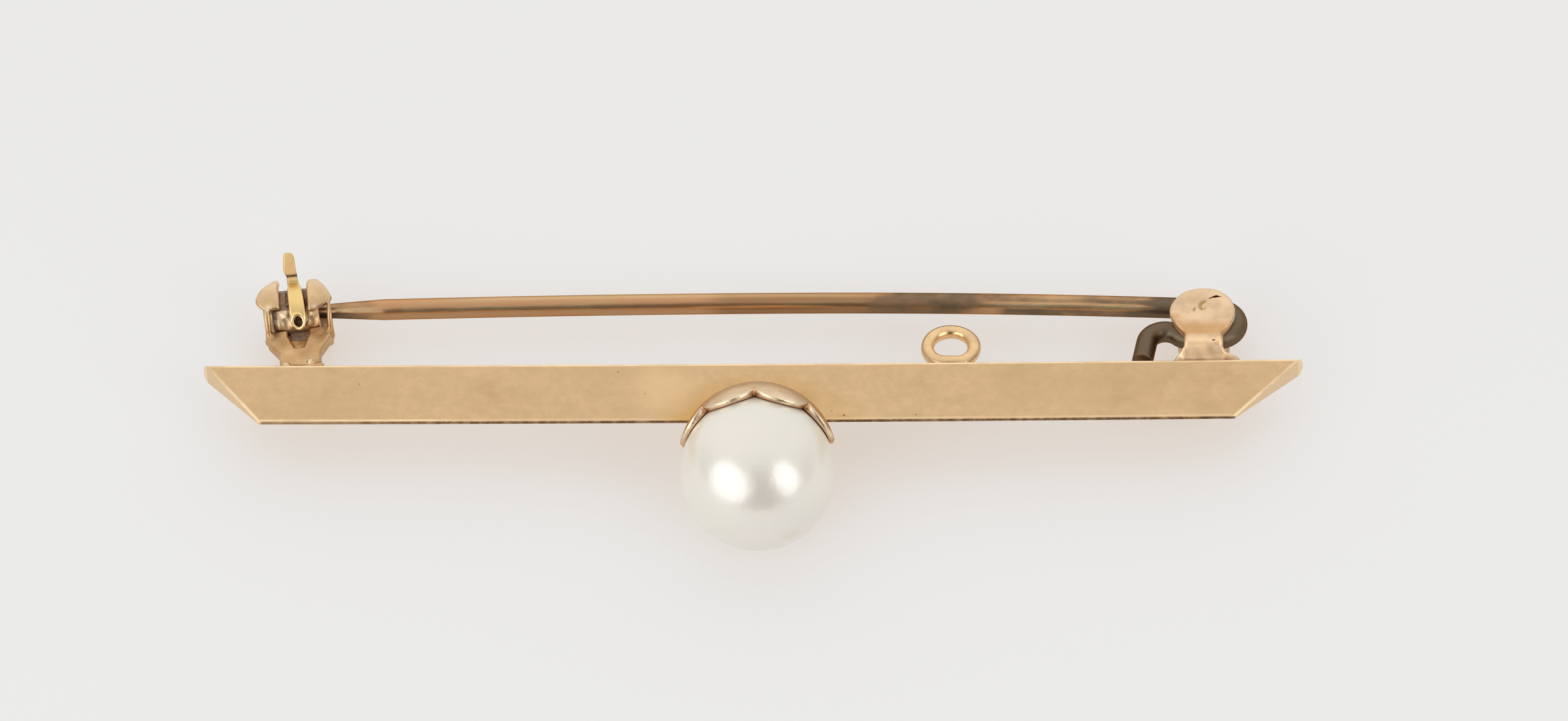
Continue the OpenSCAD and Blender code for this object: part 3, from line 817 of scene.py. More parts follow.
def make_guard(material):
    """The guard ring: a round wire carried round a circle, thickened where the solder holds it to the bar."""
    guard, bar = bpy.context.scene.brooch_guard, bpy.context.scene.brooch_bar
    t = full_turn(144)
    out = bar.dome - guard.sink + guard.ring + guard.wire - sag_at(guard.along)
    line = np.stack([guard.along + guard.ring * np.cos(t), out + guard.ring * np.sin(t), 0 * t], -1)
    across = np.stack([np.cos(t), np.sin(t), 0 * t], -1)
    up = np.broadcast_to([0.0, 0.0, 1.0], line.shape)
    low = np.abs((t - 1.5 * math.pi + math.pi) % (2 * math.pi) - math.pi)
    radius = guard.wire * (1 + 0.28 * hump(low, 0, 0.5) + 0.02 * np.sin(3 * t + 1))
    grid = carried(line, across, up, radius, full_turn(40))
    hollow = np.exp(-((grid[..., 1] - bar.dome + sag_at(guard.along)) / (0.1 * MM)).clip(0)) * 0.8
    return grid_piece("guard_ring", grid, "brooch", material, {"hollow": (hollow, [])}, loop=True)


FOOT_OUTLINE = [
    (-2.1, -0.12), (1.12, -0.12), (1.12, 0.06), (0.98, 0.24), (0.75, 0.32), (0.3, 0.42), (-1.5, 0.44),
    (-2.08, 0.05),
]


def lug_face(y):
    """How far out the lugs' faces lie at the height y: level on the round part, lower on the neck, and
    running in to the bar at the foot."""
    h = bpy.context.scene.brooch_hinge
    drop = 0.15 * MM * ease((-1.05 * MM - y) / (0.6 * MM))
    run_in = 0.7 * MM * ease((0.72 * MM - h.out - y) / (0.75 * MM))
    return h.lug_gap + h.lug_thick - drop - run_in


def hinge_field(x, y, z):
    """Distance field of the lugs on their foot, in the rivet's axes: two discs on necks, a block and a
    spreading foot, run together as solder does, with the marks that the rivet's end and the casting left."""
    h = bpy.context.scene.brooch_hinge
    low = -h.out
    face = lug_face(y)
    inset = 0.3 * np.maximum(face - np.abs(z), 0) + 0.4 * MM * (z < 0)
    disc = np.hypot(x + h.shift, y + h.drop) - h.lug - 0.02 * MM + inset
    neck = box_field(x + h.shift, y - low - 1.1 * MM, h.neck / 2, 1.15 * MM)
    outline = soft_min(disc, neck, 0.16 * MM)
    lugs = soft_max(soft_max(outline, np.abs(z) - face, 0.24 * MM), h.lug_gap - np.abs(z), 0.12 * MM)
    block = box_field(x + h.shift, y - low - 0.15 * MM, h.neck / 2, 0.27 * MM)
    block = soft_max(block, np.abs(z) - face, 0.15 * MM)
    rise = y - low
    foot = outline_field(x, rise, FOOT_OUTLINE, 0.1 * MM)
    foot = soft_max(foot, np.abs(z) - 0.43 * MM - 0.4 * MM * ease(rise / (0.42 * MM)), 0.2 * MM)
    body = soft_min(soft_min(lugs, block, 0.12 * MM), foot, 0.2 * MM)
    wave = np.sin(x / (0.31 * MM) + 1) * np.sin(y / (0.27 * MM)) + np.sin(x / (0.53 * MM) - y / (0.41 * MM))
    body = body + 0.009 * MM * wave * (1 + 1.5 * ease((low + 1 * MM - y) / (0.6 * MM)))
    body = soft_max(body, np.abs(z) - 0.46 * MM - 1.2 * np.maximum(rise, 0), 0.06 * MM)
    bore = soft_max(np.hypot(x, y) - h.rivet - 0.04 * MM, z - h.lug_gap - h.lug_thick + 0.28 * MM, 0.05 * MM)
    body = soft_max(body, -bore, 0.04 * MM)
    return marked(body, x, y, z, face)


def marked(body, x, y, z, face):
    """The upper lug's face with its marks cut in: a torn slit along a parabola, part of a ring round the
    rivet's end, a short dent, and a hole in the neck with a dimple above it."""
    u = x + 0.02 * MM
    v = y - 0.5 * MM - 0.25 * u + u * u / (1.1 * MM)
    torn = (0.055 + 0.02 * np.sin(u / (0.06 * MM) + 1)) * MM
    slit = (np.hypot(u / (0.28 * MM), v / torn) - 1) * 0.05 * MM
    ring = np.hypot(x + 0.42 * MM, y + 0.12 * MM) - 0.29 * MM
    groove = soft_max(np.abs(ring) - 0.075 * MM, x + 0.5 * MM - 0.3 * y, 0.1 * MM)
    dent = np.hypot((x + 0.97 * MM - 0.2 * (y + 0.3 * MM)), (y + 0.32 * MM) / 3.2) - 0.042 * MM
    hole = np.hypot(x + 0.13 * MM, (y + 2.16 * MM) * 1.5) - 0.065 * MM
    depths = ((slit, 0.14, 0.04), (groove, 0.035, 0.05), (dent, 0.05, 0.04), (hole, 0.3, 0.04))
    cuts = np.inf
    for mark, deep, blend in depths:
        cuts = np.minimum(cuts, soft_max(mark, face - deep * MM - z, blend * MM))
    dimple = ball_field(x, y, z, (-0.17 * MM, -2.0 * MM, 1.42 * MM), 0.34 * MM)
    return soft_max(soft_max(body, -dimple, 0.1 * MM), -cuts, 0.03 * MM)


def make_hinge(material):
    """The hinge's lugs and foot, as the skin of their field. Its notes are the grime in the hollows and
    painted shade in them and between the lugs, the warm glow of the solder and warm painted shade on the
    lower face and neck, the yellow metal in two of the marks, and the pale foot."""
    h = bpy.context.scene.brooch_hinge
    low = (-h.shift - 1.75 * MM, -h.out - 0.25 * MM, -1.36 * MM)
    high = (1.3 * MM, 1.3 * MM, 1.36 * MM)
    points, faces = skin(hinge_field, low, high, 0.036 * MM)
    hollow = hollows(hinge_field, points, 0.22 * MM)
    x, y, z = points.T
    # Painted shade on the lugs' inner faces, between the two lugs.
    inner = np.clip(1 - (np.abs(z) - h.lug_gap) / (0.1 * MM), 0, 1)
    hollow = np.clip(hollow * 1.5 - 0.25 + inner * 0.5, 0, 1)
    glow = 0.75 * hump(np.hypot(x + 1.86 * MM, y + 0.8 * MM), 0, 0.26 * MM) * (z > 0)
    mark = hump(np.hypot(x + 0.42 * MM, y + 0.12 * MM), 0.29 * MM, 0.07 * MM)
    mark = mark * ease((-0.42 * MM + 0.3 * y - x) / (0.12 * MM)) * (z > 1.1 * MM)
    fleck = hump(np.hypot(x + 0.52 * MM, y + 0.3 * MM), 0, 0.08 * MM) * (z > 0) * 0.7
    mark = np.maximum(mark, fleck)
    # Painted shade on the lower face and neck, where the lug curves away, given as warm darkening.
    chin_shade = ease((-0.85 * MM - y) / (0.6 * MM)) * ease((y + 1.95 * MM) / (0.3 * MM))
    mottle = 0.5 + 0.5 * np.sin(x / (0.17 * MM)) * np.sin(y / (0.13 * MM) + x / (0.3 * MM))
    hollow = np.clip(hollow + 0.22 * mottle**2 * ease((-2.2 * MM - y) / (0.3 * MM)), 0, 1)
    glow += 0.9 * chin_shade + 0.35 * ease((-1.75 * MM - y) / (0.4 * MM)) * mottle
    points = points + [h.along, h.out, 0]
    pale = 0.8 * ease((-1.85 * MM - y) / (0.3 * MM)) * (z > 0) * (1 - hollow)
    notes = {"hollow": hollow * (1 - mark), "warm": np.clip(glow, 0, 1), "yellow": mark, "pale": pale}
    return make_piece("hinge_lugs", points, faces, "brooch", material, notes)


def make_rivet(material):
    """The rivet: a turned rod with a low head below and its upper end under the lug's skin."""
    h = bpy.context.scene.brooch_hinge
    face = h.lug_gap + h.lug_thick
    head = rounded(-h.head_low, -face - 0.04 * MM, h.head, 0.1 * MM)
    rod = rounded(-face - 0.06 * MM, face - 0.24 * MM, h.rivet, 0.05 * MM)
    grid = lathe(np.vstack([head, rod[len(rod) // 2 :]]), 64)
    grid = np.stack([h.along + grid[..., 1], h.out + grid[..., 2], grid[..., 0]], -1)
    return grid_piece("hinge_rivet", grid, "brooch", material)


def catch_axes(y, z):
    """Angle round the catch's axis, from the back over the top, in degrees from 0 to 360, and the radius."""
    return np.degrees(np.arctan2(z, y)) % 360, np.hypot(y, z)


# Outlines on the sleeve's unrolled surface, in millimetres: x, and the arc from the top towards the bar.
LEFT_EAR = [
    (-0.72, -1.42), (-0.72, 0.87), (-1.0, 0.93), (-1.48, 0.86), (-1.68, 0.66),
    (-1.84, 0.33), (-1.8, 0.12), (-1.6, -0.41), (-1.35, -0.82), (-0.95, -1.3),
]
RIGHT_EAR = [
    (0.55, -1.15), (0.72, -1.34), (0.98, -1.18), (1.33, -0.45), (1.58, 0.15), (1.74, 0.58), (1.45, 0.87),
    (0.9, 1.12), (0.53, 1.15),
]
LEFT_WALL = [(-1.5, 0.75), (-1.2, 0.75), (-1.24, 2.6), (-1.5, 2.6)]
RIGHT_WALL = [(1.33, 1.65), (1.46, 0.62), (1.6, 0.55), (1.62, 1.5), (1.62, 2.7), (1.3, 2.7)]
LOWER_BODY = [
    (-1.5, 2.4), (1.58, 2.58), (1.64, 2.7), (1.42, 3.0), (1.0, 3.45), (-1.05, 3.45), (-1.45, 3.0),
    (-1.63, 2.55),
]
# Painted highlights on the ears and a shoulder, on the unrolled surface: x and arc in millimetres.
BRIGHT_SPOTS = [(-1.25, 0.8), (0.86, 0.98), (0.45, 2.62)]
# The middles of the two lumps of solder on the leg's foot, in millimetres, in the catch's axes.
FOOT_LUMPS = [(-0.66, -3.55, 0.36), (0.46, -3.52, 0.36)]


def sleeve_field(x, y, z):
    """Distance field of the catch's sleeve and leg, in the catch's axes: a tube cut to outlines on its
    unrolled surface, two ears, two narrow walls and a lower body, on a leg that spreads upwards."""
    c = bpy.context.scene.brooch_catch
    angle, r = catch_axes(y, z)
    along_arc = np.radians(angle - 90) * c.sleeve
    bent = 0.12 * MM * hump(x, -0.85 * MM, 0.4 * MM) * ease((88 - angle) / 40)
    r_ear = r - bent * (angle < 180)
    inside = c.sleeve - c.wall
    arc_mm = math.radians(1) * c.sleeve
    mouth = (np.where(angle > 180, 28, 38) - np.minimum(angle, 360 - angle)) * arc_mm
    front = outline_field(x, along_arc, LEFT_EAR, 0.12 * MM)
    for corners in (RIGHT_EAR, LEFT_WALL, RIGHT_WALL, LOWER_BODY):
        front = soft_min(front, outline_field(x, along_arc, corners, 0.12 * MM), 0.05 * MM)
    taper = 1.45 * MM + np.minimum(y + 1 * MM, 0) * 0.5
    rear = soft_max(np.abs(x) - taper, z + 0.14 * MM, 0.1 * MM)
    shape = soft_max(soft_min(front, rear, 0.05 * MM), mouth, 0.1 * MM)
    tube = soft_max(soft_max(r_ear - c.sleeve, inside - r_ear, 0.1 * MM), shape, 0.16 * MM)
    base = np.exp(-np.maximum(y + c.out - 0.1 * MM, 0) / (0.14 * MM))
    width = np.interp(y, [-2.7 * MM, -1.85 * MM], [0.95 * MM, 1.45 * MM]) + 0.1 * MM * base
    lean_out = 0.05 * MM * np.cos(x / (0.28 * MM)) * base
    leg = soft_max(np.abs(x) - width, np.abs(z) - 0.31 * MM - 0.1 * MM * base + 0.4 * lean_out, 0.16 * MM)
    leg = soft_max(leg, np.abs(y + c.out / 2 + 0.775 * MM) - c.out / 2 + 0.475 * MM, 0.1 * MM)
    leg = soft_max(leg, inside - r, 0.06 * MM)
    for spot in FOOT_LUMPS:
        leg = soft_min(leg, ball_field(x, y, z, np.array(spot) * MM, 0.15 * MM), 0.1 * MM)
    body = soft_min(tube, leg, 0.16 * MM)
    lumps = np.sin(x / (0.24 * MM) + 0.6) * np.sin(y / (0.22 * MM)) * np.sin(z / (0.3 * MM) + 1)
    body = body + 0.02 * MM * lumps
    track = np.maximum(np.abs(x - 0.04 * MM) - 0.45 * MM, np.maximum(173 - angle, angle - 246) * arc_mm)
    track = np.maximum(np.maximum(track, r - c.sleeve - 0.04 * MM), inside - 0.15 * MM - r)
    notch = np.maximum(np.abs(x + 0.02 * MM) - 0.5 * MM + 0.35 * np.maximum(-y - 1.6 * MM, 0), -2.42 * MM - y)
    notch = np.maximum(notch, -z)
    return soft_max(soft_max(body, -track, 0.1 * MM), -notch, 0.1 * MM)


def catch_place(points):
    """Carries points from the catch's axes to the brooch's: leant, twisted and moved out."""
    c = bpy.context.scene.brooch_catch
    turn = Matrix.Rotation(c.lean, 3, "Z") @ Matrix.Rotation(-c.twist, 3, "Y")
    return points @ np.array(turn).T + [c.along, c.out, 0]


def make_sleeve(material):
    """The catch's sleeve and leg, as the skin of their field. Its notes are painted shade on the sleeve's
    inner wall, grime and painted shade in the hollows, painted highlights on the bright spots and lumps, the
    paler rear, and the warm foot."""
    c = bpy.context.scene.brooch_catch
    low = (-1.95 * MM, -c.out - 0.4 * MM, -1.66 * MM)
    high = (1.85 * MM, 1.5 * MM, 1.66 * MM)
    points, faces = skin(sleeve_field, low, high, 0.036 * MM)
    hollow = hollows(sleeve_field, points, 0.3 * MM)
    x, y, z = points.T
    r = np.hypot(y, z)
    # Painted shade on the sleeve's inner wall.
    inner = np.clip(1 - (r - c.sleeve + c.wall) / (0.08 * MM), 0, 1) * (r < c.sleeve)
    hollow = np.clip(hollow * 1.3 - 0.3 + inner * 0.7, 0, 1)
    # Painted highlights on the foot's lumps and on the bright spots, and a paler rear.
    pale = np.zeros(len(points))
    for spot in FOOT_LUMPS:
        pale += hump(ball_field(x, y, z, np.array(spot) * MM, 0), 0, 0.17 * MM)
    along_arc = np.arctan2(-y, z) * c.sleeve
    for spot_x, spot_arc in BRIGHT_SPOTS:
        pale += hump(np.hypot(x - spot_x * MM, along_arc - spot_arc * MM), 0, 0.13 * MM) * (y < 0.5 * MM)
    pale += 0.55 * ease((0.7 * MM - along_arc) / (1.6 * MM)) * (r > c.sleeve - 0.1 * MM)
    pale = np.clip(pale, 0, 1) * 0.9
    blotch = 0.5 + 0.5 * np.sin(x / (0.21 * MM) + 1) * np.sin(y / (0.17 * MM) + x / (0.33 * MM))
    warm = (0.2 + 0.45 * blotch) * ease((-1.1 * MM - y) / (0.5 * MM)) * (1 - pale)
    notes = {"hollow": hollow * (1 - pale), "pale": pale, "warm": warm}
    return make_piece("catch_sleeve", catch_place(points), faces, "brooch", material, notes)


# Outlines of the lock's raised strip, on its unrolled surface, and of its plate, in x and distance from the
# catch's axis, in millimetres, and the angles round that axis where the plate and the rimmed hole lie.
STRIP = [
    (-0.28, -1.19), (0.2, -1.19), (0.26, -0.8), (0.4, 0.0), (0.45, 1.1), (0.43, 1.6),
    (0.27, 1.9), (-0.14, 1.9), (-0.3, 1.6), (-0.35, 1.0), (-0.34, -0.6),
]
THUMB_TAB = [
    (-0.36, 1.83), (0.16, 1.83), (0.16, 2.3), (0.15, 2.7), (0.07, 2.87), (-0.08, 2.93), (-0.27, 2.93),
    (-0.39, 2.84), (-0.43, 2.5), (-0.48, 2.12), (-0.45, 1.98),
]
TAB_ROOT = [(-0.33, 1.1), (0.2, 1.1), (0.15, 1.95), (-0.33, 1.95)]
TAB_ANGLE = 52
HOLE_ANGLE = 148


def along_angle(y, z, degrees):
    """Distances along and across a direction round the catch's axis: y cos a + z sin a, z cos a - y sin a."""
    cos, sin = math.cos(math.radians(degrees)), math.sin(math.radians(degrees))
    return y * cos + z * sin, z * cos - y * sin


def ripples(x, angle):
    """The lumps on the lock's tube: a sine along it times a sine round it."""
    return np.sin(x / (0.1 * MM) + 0.5) * np.sin(angle / 9)


def hole_ring(x, side):
    """Distance from the middle of the rimmed hole, which is an oval, longer round the lock."""
    return np.hypot(x - 0.04 * MM, side / 1.25)


def lock_field(x, y, z):
    """Distance field of the lock, in the catch's axes: a lumpy tube with a gap for the pin, a raised strip
    with a rimmed hole, and a plate that ends in a bent thumb tab."""
    c = bpy.context.scene.brooch_catch
    angle, r = catch_axes(y, z)
    arc_mm = math.radians(1) * c.lock
    gap = (42 - np.minimum(angle, 360 - angle)) * arc_mm
    lumps = ripples(x, angle) * ease((angle - 122) / 14) * ease((176 - angle) / 10)
    ends = np.abs(x + 0.07 * MM) - c.lock_length / 2 - 0.07 * MM
    tube = soft_max(r - c.lock - 0.03 * MM * lumps, c.lock - c.lock_wall - r, 0.06 * MM)
    tube = soft_max(soft_max(tube, ends, 0.1 * MM), gap, 0.06 * MM)
    top = c.sleeve - 0.04 * MM
    strip = outline_field(x, np.radians(angle - 90) * c.sleeve, STRIP, 0.1 * MM)
    strip = soft_max(strip, soft_max(r - top, c.lock - 0.1 * MM - r, 0.02 * MM), 0.12 * MM)
    body = soft_min(tube, strip, 0.05 * MM)
    height, off = along_angle(y, z, TAB_ANGLE)
    bend = np.maximum(height - 1.82 * MM, 0)
    root, tab = outline_field(x, height, TAB_ROOT, 0.06 * MM), outline_field(x, height, THUMB_TAB, 0.1 * MM)
    plate = soft_min(root, tab, 0.05 * MM)
    crease = 0.05 * MM * hump(height, 1.82 * MM, 0.045 * MM) * (off > 0)
    plate = soft_max(plate, np.abs(off - 0.12 * bend) - 0.15 * MM + crease, 0.1 * MM)
    body = soft_min(body, plate, 0.06 * MM)
    out, side = along_angle(y, z, HOLE_ANGLE)
    ring = hole_ring(x, side)
    hole = np.maximum(ring - 0.185 * MM, c.sleeve - c.wall - 0.1 * MM - out)
    lumpy = 0.05 * MM + 0.025 * MM * np.sin(2 * np.arctan2(side, x - 0.04 * MM))
    rim = np.hypot(ring - 0.27 * MM, out - top + 0.04 * MM) - lumpy
    return soft_max(soft_min(body, rim, 0.06 * MM), -hole, 0.05 * MM)


def make_lock(material):
    """The turning lock, as the skin of its field. Its notes are grime and painted shade in the hollows,
    painted shade in the slot beside the strip, at the tube's end, on its underside, in the hole and along the
    tab's bend, the yellow strip and tab, the warm right side, painted highlights on the rim, above the hole
    and on the lumps, the paler tab, and the dull tab."""
    c = bpy.context.scene.brooch_catch
    low = (-1.3575 * MM, -1.6575 * MM, -1.3075 * MM)
    high = (1.1 * MM, 2.1 * MM, 2.5 * MM)
    points, faces = skin(lock_field, low, high, 0.03 * MM)
    hollow = np.clip(hollows(lock_field, points, 0.2 * MM) * 1.4 - 0.3, 0, 1)
    x, y, z = points.T
    angle, r = catch_axes(y, z)
    yellow = ease((r - c.lock - 0.05 * MM) / (0.1 * MM))
    # Painted shade in the slot beside the strip, at the tube's left end and on its underside.
    shade = ease((126 - angle) / 6) + ease((-0.86 * MM - x) / (0.1 * MM)) + ease((angle - 166) / 12)
    hollow = np.clip(hollow + 0.85 * np.clip(shade, 0, 1) * (1 - yellow), 0, 1)
    orange = ease((x - 0.45 * MM) / (0.05 * MM)) * (1 - yellow) * 0.6
    height, _ = along_angle(y, z, TAB_ANGLE)
    tab = ease((height - 1.5 * MM) / (0.3 * MM)) * (r > c.sleeve)
    # Painted shade along the tab's bend and inside the rimmed hole.
    bend = hump(height, 1.83 * MM, 0.06 * MM) * 0.7
    out, side = along_angle(y, z, HOLE_ANGLE)
    ring = hole_ring(x, side)
    deep = ease((c.sleeve - 0.16 * MM - out) / (0.08 * MM)) * ease((0.22 * MM - ring) / (0.03 * MM))
    hollow = np.clip(np.maximum(hollow, deep) + bend * tab, 0, 1)
    # Painted highlights on the hole's rim, above the hole and on the tube's lumps.
    lit = hump(ring, 0.28 * MM, 0.07 * MM) * np.abs(x - 0.04 * MM) / (0.28 * MM)
    lit += ease((0.17 * MM - np.hypot(x - 0.02 * MM, side - 0.52 * MM)) / (0.06 * MM))
    bright = 0.8 * (ripples(x, angle) > 0.1) * ease((angle - 130) / 8) * ease((164 - angle) / 8)
    bright = bright * (1 - yellow) * (x > -0.9 * MM)
    pale = np.clip(lit * (out > c.lock) + 0.2 * tab + bright, 0, 1)
    warm = np.clip(orange + 0.35 * tab, 0, 1)
    yellow = yellow * (1 - 0.4 * tab)
    notes = {"hollow": hollow, "yellow": yellow, "warm": warm, "pale": pale * (1 - hollow), "dull": tab}
    return make_piece("catch_lock", catch_place(points), faces, "lock", material, notes)


def pin_line():
    """The pin's centre line in x and y, from the point to the tail's end, and where each part of it starts:
    the taper, two shallow bows, the hairpin round the rivet, a short run, two bends and the tail."""
    p, h, bar = bpy.context.scene.brooch_pin, bpy.context.scene.brooch_hinge, bpy.context.scene.brooch_bar
    catch = bpy.context.scene.brooch_catch
    crown = np.array([p.crown_along, p.crown_out])
    hub = np.array([h.along, h.out])
    tilt = math.asin((crown[0] - (catch.along - 1.3 * MM + p.taper)) / p.bow_point)
    taper_end = crown + p.bow_point * np.array([-math.sin(tilt), math.cos(tilt) - 1])
    point = taper_end - p.taper * np.array([math.cos(tilt), math.sin(tilt)])
    foot = math.asin((h.along - crown[0]) / (p.bow_hinge - p.hairpin))
    climb, drop, quarter = math.radians(45), math.radians(80), math.pi / 2
    run_end = hub - [p.run, p.hairpin]
    low = run_end + [0, p.climb]
    crest = low - 2 * p.climb * np.array([math.sin(climb), math.cos(climb)])
    fall = crest + p.climb * np.array([math.cos(quarter + drop), math.sin(quarter + drop)])
    fall_length = (fall[1] - bar.dome - 0.03 * MM - p.wire * math.cos(drop)) / math.sin(drop)
    share = np.linspace(0, 1, 60)[:, None]
    few = share[6::6]
    return np.vstack([
        point * (1 - share) + taper_end * share,
        arc(crown - [0, p.bow_point], p.bow_point, quarter + tilt, quarter, 140)[1:],
        arc(crown - [0, p.bow_hinge], p.bow_hinge, quarter, quarter - foot, 140)[1:],
        arc(hub, p.hairpin, quarter - foot, -quarter, 60)[1:],
        (hub - [0, p.hairpin]) * (1 - few) + run_end * few,
        arc(low, p.climb, -quarter, -quarter - climb, 16)[1:],
        arc(crest, p.climb, quarter - climb, quarter + drop, 40)[1:],
        fall - fall_length * np.array([math.cos(drop), math.sin(drop)]) * few,
    ])


def wire_notes(x, y, upper):
    """Where the wire is tarnished and where it has painted shade on its sides, a painted highlight on its
    upper back side, painted bright streaks and painted brown shade, and these values at its two ends. upper
    runs from -1 on the wire's lower front to 1 on its upper back."""
    dark = 0.45 * hump(x, (8 + 0.8 * upper) * MM, 3.0 * MM, 4)
    hinge = 1 / (1 + np.exp(-(x - (18.35 + 0.5 * upper) * MM) / (0.4 * MM)))
    hinge = np.maximum(hinge, ease((3.25 * MM - y) / (0.15 * MM)) * (x > 10 * MM))
    point_end = np.exp(-np.maximum(x + 21.4 * MM, 0) / (0.25 * MM)) * 0.8
    near_hinge = ease((x - 10 * MM) / (2 * MM))
    # Painted shade on the wire's upper and lower sides near the hinge, and darkening near the point's end,
    # deeper on the lower side.
    top = 0.4 * ease((upper - 0.05) / 0.2) * (1 - 0.25 * ease((upper - 0.5) / 0.2))
    edge_shade = near_hinge * (0.5 * ease((-0.2 - upper) / 0.3) + top)
    edge_shade += ease((-16.4 * MM - x) / (1.4 * MM)) * (0.34 + 0.1 * ease((-0.1 - upper) / 0.3))
    middle = ease((x + 15 * MM) / (4 * MM)) * ease((6 * MM - x) / (3 * MM))
    # Painted highlight on the wire's upper back side.
    painted_highlight = ease((upper - 0.5) / 0.3) * ease((18.6 * MM - x) / (2 * MM)) * (0.1 + 0.9 * middle)
    # Painted highlights: bright streaks along the middle of the wire.
    streak_highlight = hump(upper, 0, 0.18) * hump(x, -18.5 * MM, 1.8 * MM, 4)
    streak_highlight += 0.3 * hump(upper, -0.1, 0.2) * ease((-5 * MM - x) / (3 * MM)) * (x > -16 * MM)
    streak_highlight += 0.95 * hump(upper, -0.08, 0.2) * near_hinge * ease((18.2 * MM - x) / MM)
    tarnish_and_shade = np.maximum(np.maximum(dark, hinge), point_end) + edge_shade - 0.5 * streak_highlight
    # Painted shade: brown darkening of the wire above and below its middle.
    brown = (1 - hump(upper, -0.1, 0.25)) * (1 - 0.5 * ease((upper - 0.4) / 0.3))
    brown *= 0.4 + 0.5 * ease((x + 2.6 * MM) / (1.6 * MM)) * ease((11 * MM - x) / (2 * MM))
    return {
        "tarnish_and_shade": (np.clip(tarnish_and_shade, 0, 1), [0.9, 1]),
        "painted_highlight": (painted_highlight, [0, 0]),
        "streak_highlight": (streak_highlight, [0, 0]),
        "brown": (brown, [0, 0]),
    }


# The direction in y and z from which the wire's notes are measured, its painted highlights and shade and its
# tarnished patches: up and to the back.
WIRE_TOP = (0.694, 0.719)


def make_pin(material):
    """The pin: a round wire carried along its line. Its radius grows over the taper, and both ends are
    rounded: the point by a ball, and the tail by a small corner."""
    p = bpy.context.scene.brooch_pin
    line = pin_line()
    steps = np.linalg.norm(np.diff(line, axis=0), axis=1)
    along = np.concatenate([[0], np.cumsum(steps)])
    heading = np.gradient(line, axis=0)
    heading /= np.linalg.norm(heading, axis=1, keepdims=True)
    radius = np.minimum(p.point + (p.wire - p.point) * along / p.taper, p.wire)
    t = np.linspace(0.08, math.pi / 2, 8)
    nose = line[0] + heading[0] * (p.point * (1 - np.cos(t)))[:, None]
    after = along > p.point * 1.15
    line = np.vstack([nose, line[after]])
    heading = np.vstack([np.repeat(heading[:1], len(t), 0), heading[after]])
    radius = np.concatenate([p.point * np.sin(t), radius[after]])
    corner = 0.02 * MM
    t = np.linspace(math.pi / 2, 0, 6)[1:]
    before_end = (corner * (1 - np.cos(math.pi / 2 - t)))[::-1, None]
    line = np.vstack([line[:-1], line[-1] - heading[-1] * before_end])
    heading = np.vstack([heading[:-1], np.repeat(heading[-1:], len(t), 0)])
    radius = np.concatenate([radius[:-1], p.wire - corner * (1 - np.sin(t))])
    zero = np.zeros(len(line))
    across = np.stack([-heading[:, 1], heading[:, 0], zero], -1)
    up = np.broadcast_to([0.0, 0.0, 1.0], across.shape)
    turns = full_turn(48)
    grid = carried(np.column_stack([line, zero]), across, up, radius, turns)
    upper = across[:, None, 1] * np.cos(turns) * WIRE_TOP[0] + np.sin(turns) * WIRE_TOP[1]
    notes = wire_notes(grid[..., 0], grid[..., 1], upper)
    return grid_piece("pin", grid, "pin", material, notes)


# Operators


class BROOCH_OT_bar(bpy.types.Operator):
    """Makes the knife-edge bar and the guard ring on its back"""

    bl_idname = "brooch.bar"
    bl_label = "Bar and guard ring"

    def execute(self, context):
        hues = context.scene.brooch_colours
        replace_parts(make_bar(bar_gold()), "soldered_bar")
        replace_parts(make_guard(rose_gold("guard_gold", tint(hues.bar, 1.3), 0.22, 0.32)), "soldered_bar")
        return {"FINISHED"}


class BROOCH_OT_cup(bpy.types.Operator):
    """Makes the scalloped cup and its peg"""

    bl_idname = "brooch.cup"
    bl_label = "Pearl cup"

    def execute(self, context):
        # The brown-orange colour here paints shade and warm reflection in the gap round the pearl.
        material = rose_gold(
            "cup_gold", (0.84, 0.68, 0.475), 0.24, 0.36, grime_and_shade=(0.62, 0.31, 0.15), rim=(0.72, 0.5, 0.36)
        )
        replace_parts(make_cup(material), "soldered_bar")
        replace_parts(make_peg(material), "soldered_bar")
        return {"FINISHED"}


class BROOCH_OT_pearl(bpy.types.Operator):
    """Makes the pearl"""

    bl_idname = "brooch.pearl"
    bl_label = "Pearl"

    def execute(self, context):
        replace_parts(make_pearl(nacre()), "pearl")
        return {"FINISHED"}


class BROOCH_OT_hinge(bpy.types.Operator):
    """Makes the hinge's lugs and its rivet"""

    bl_idname = "brooch.hinge"
    bl_label = "Hinge"

    def execute(self, context):
        rose = tuple(context.scene.brooch_colours.rose)
        metal = rose_gold(
            "lug_gold", tint(rose, 0.85), 0.42, 0.55, grime_and_shade=(0.22, 0.07, 0.035),
            inks={"yellow": (0.42, 0.3, 0.1), "pale": (0.98, 0.7, 0.43)},
        )
        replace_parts(make_hinge(metal), "soldered_bar")
        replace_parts(make_rivet(rose_gold("rivet_gold", tint(rose, 0.7), 0.35, 0.5)), "hinge_rivet")
        return {"FINISHED"}


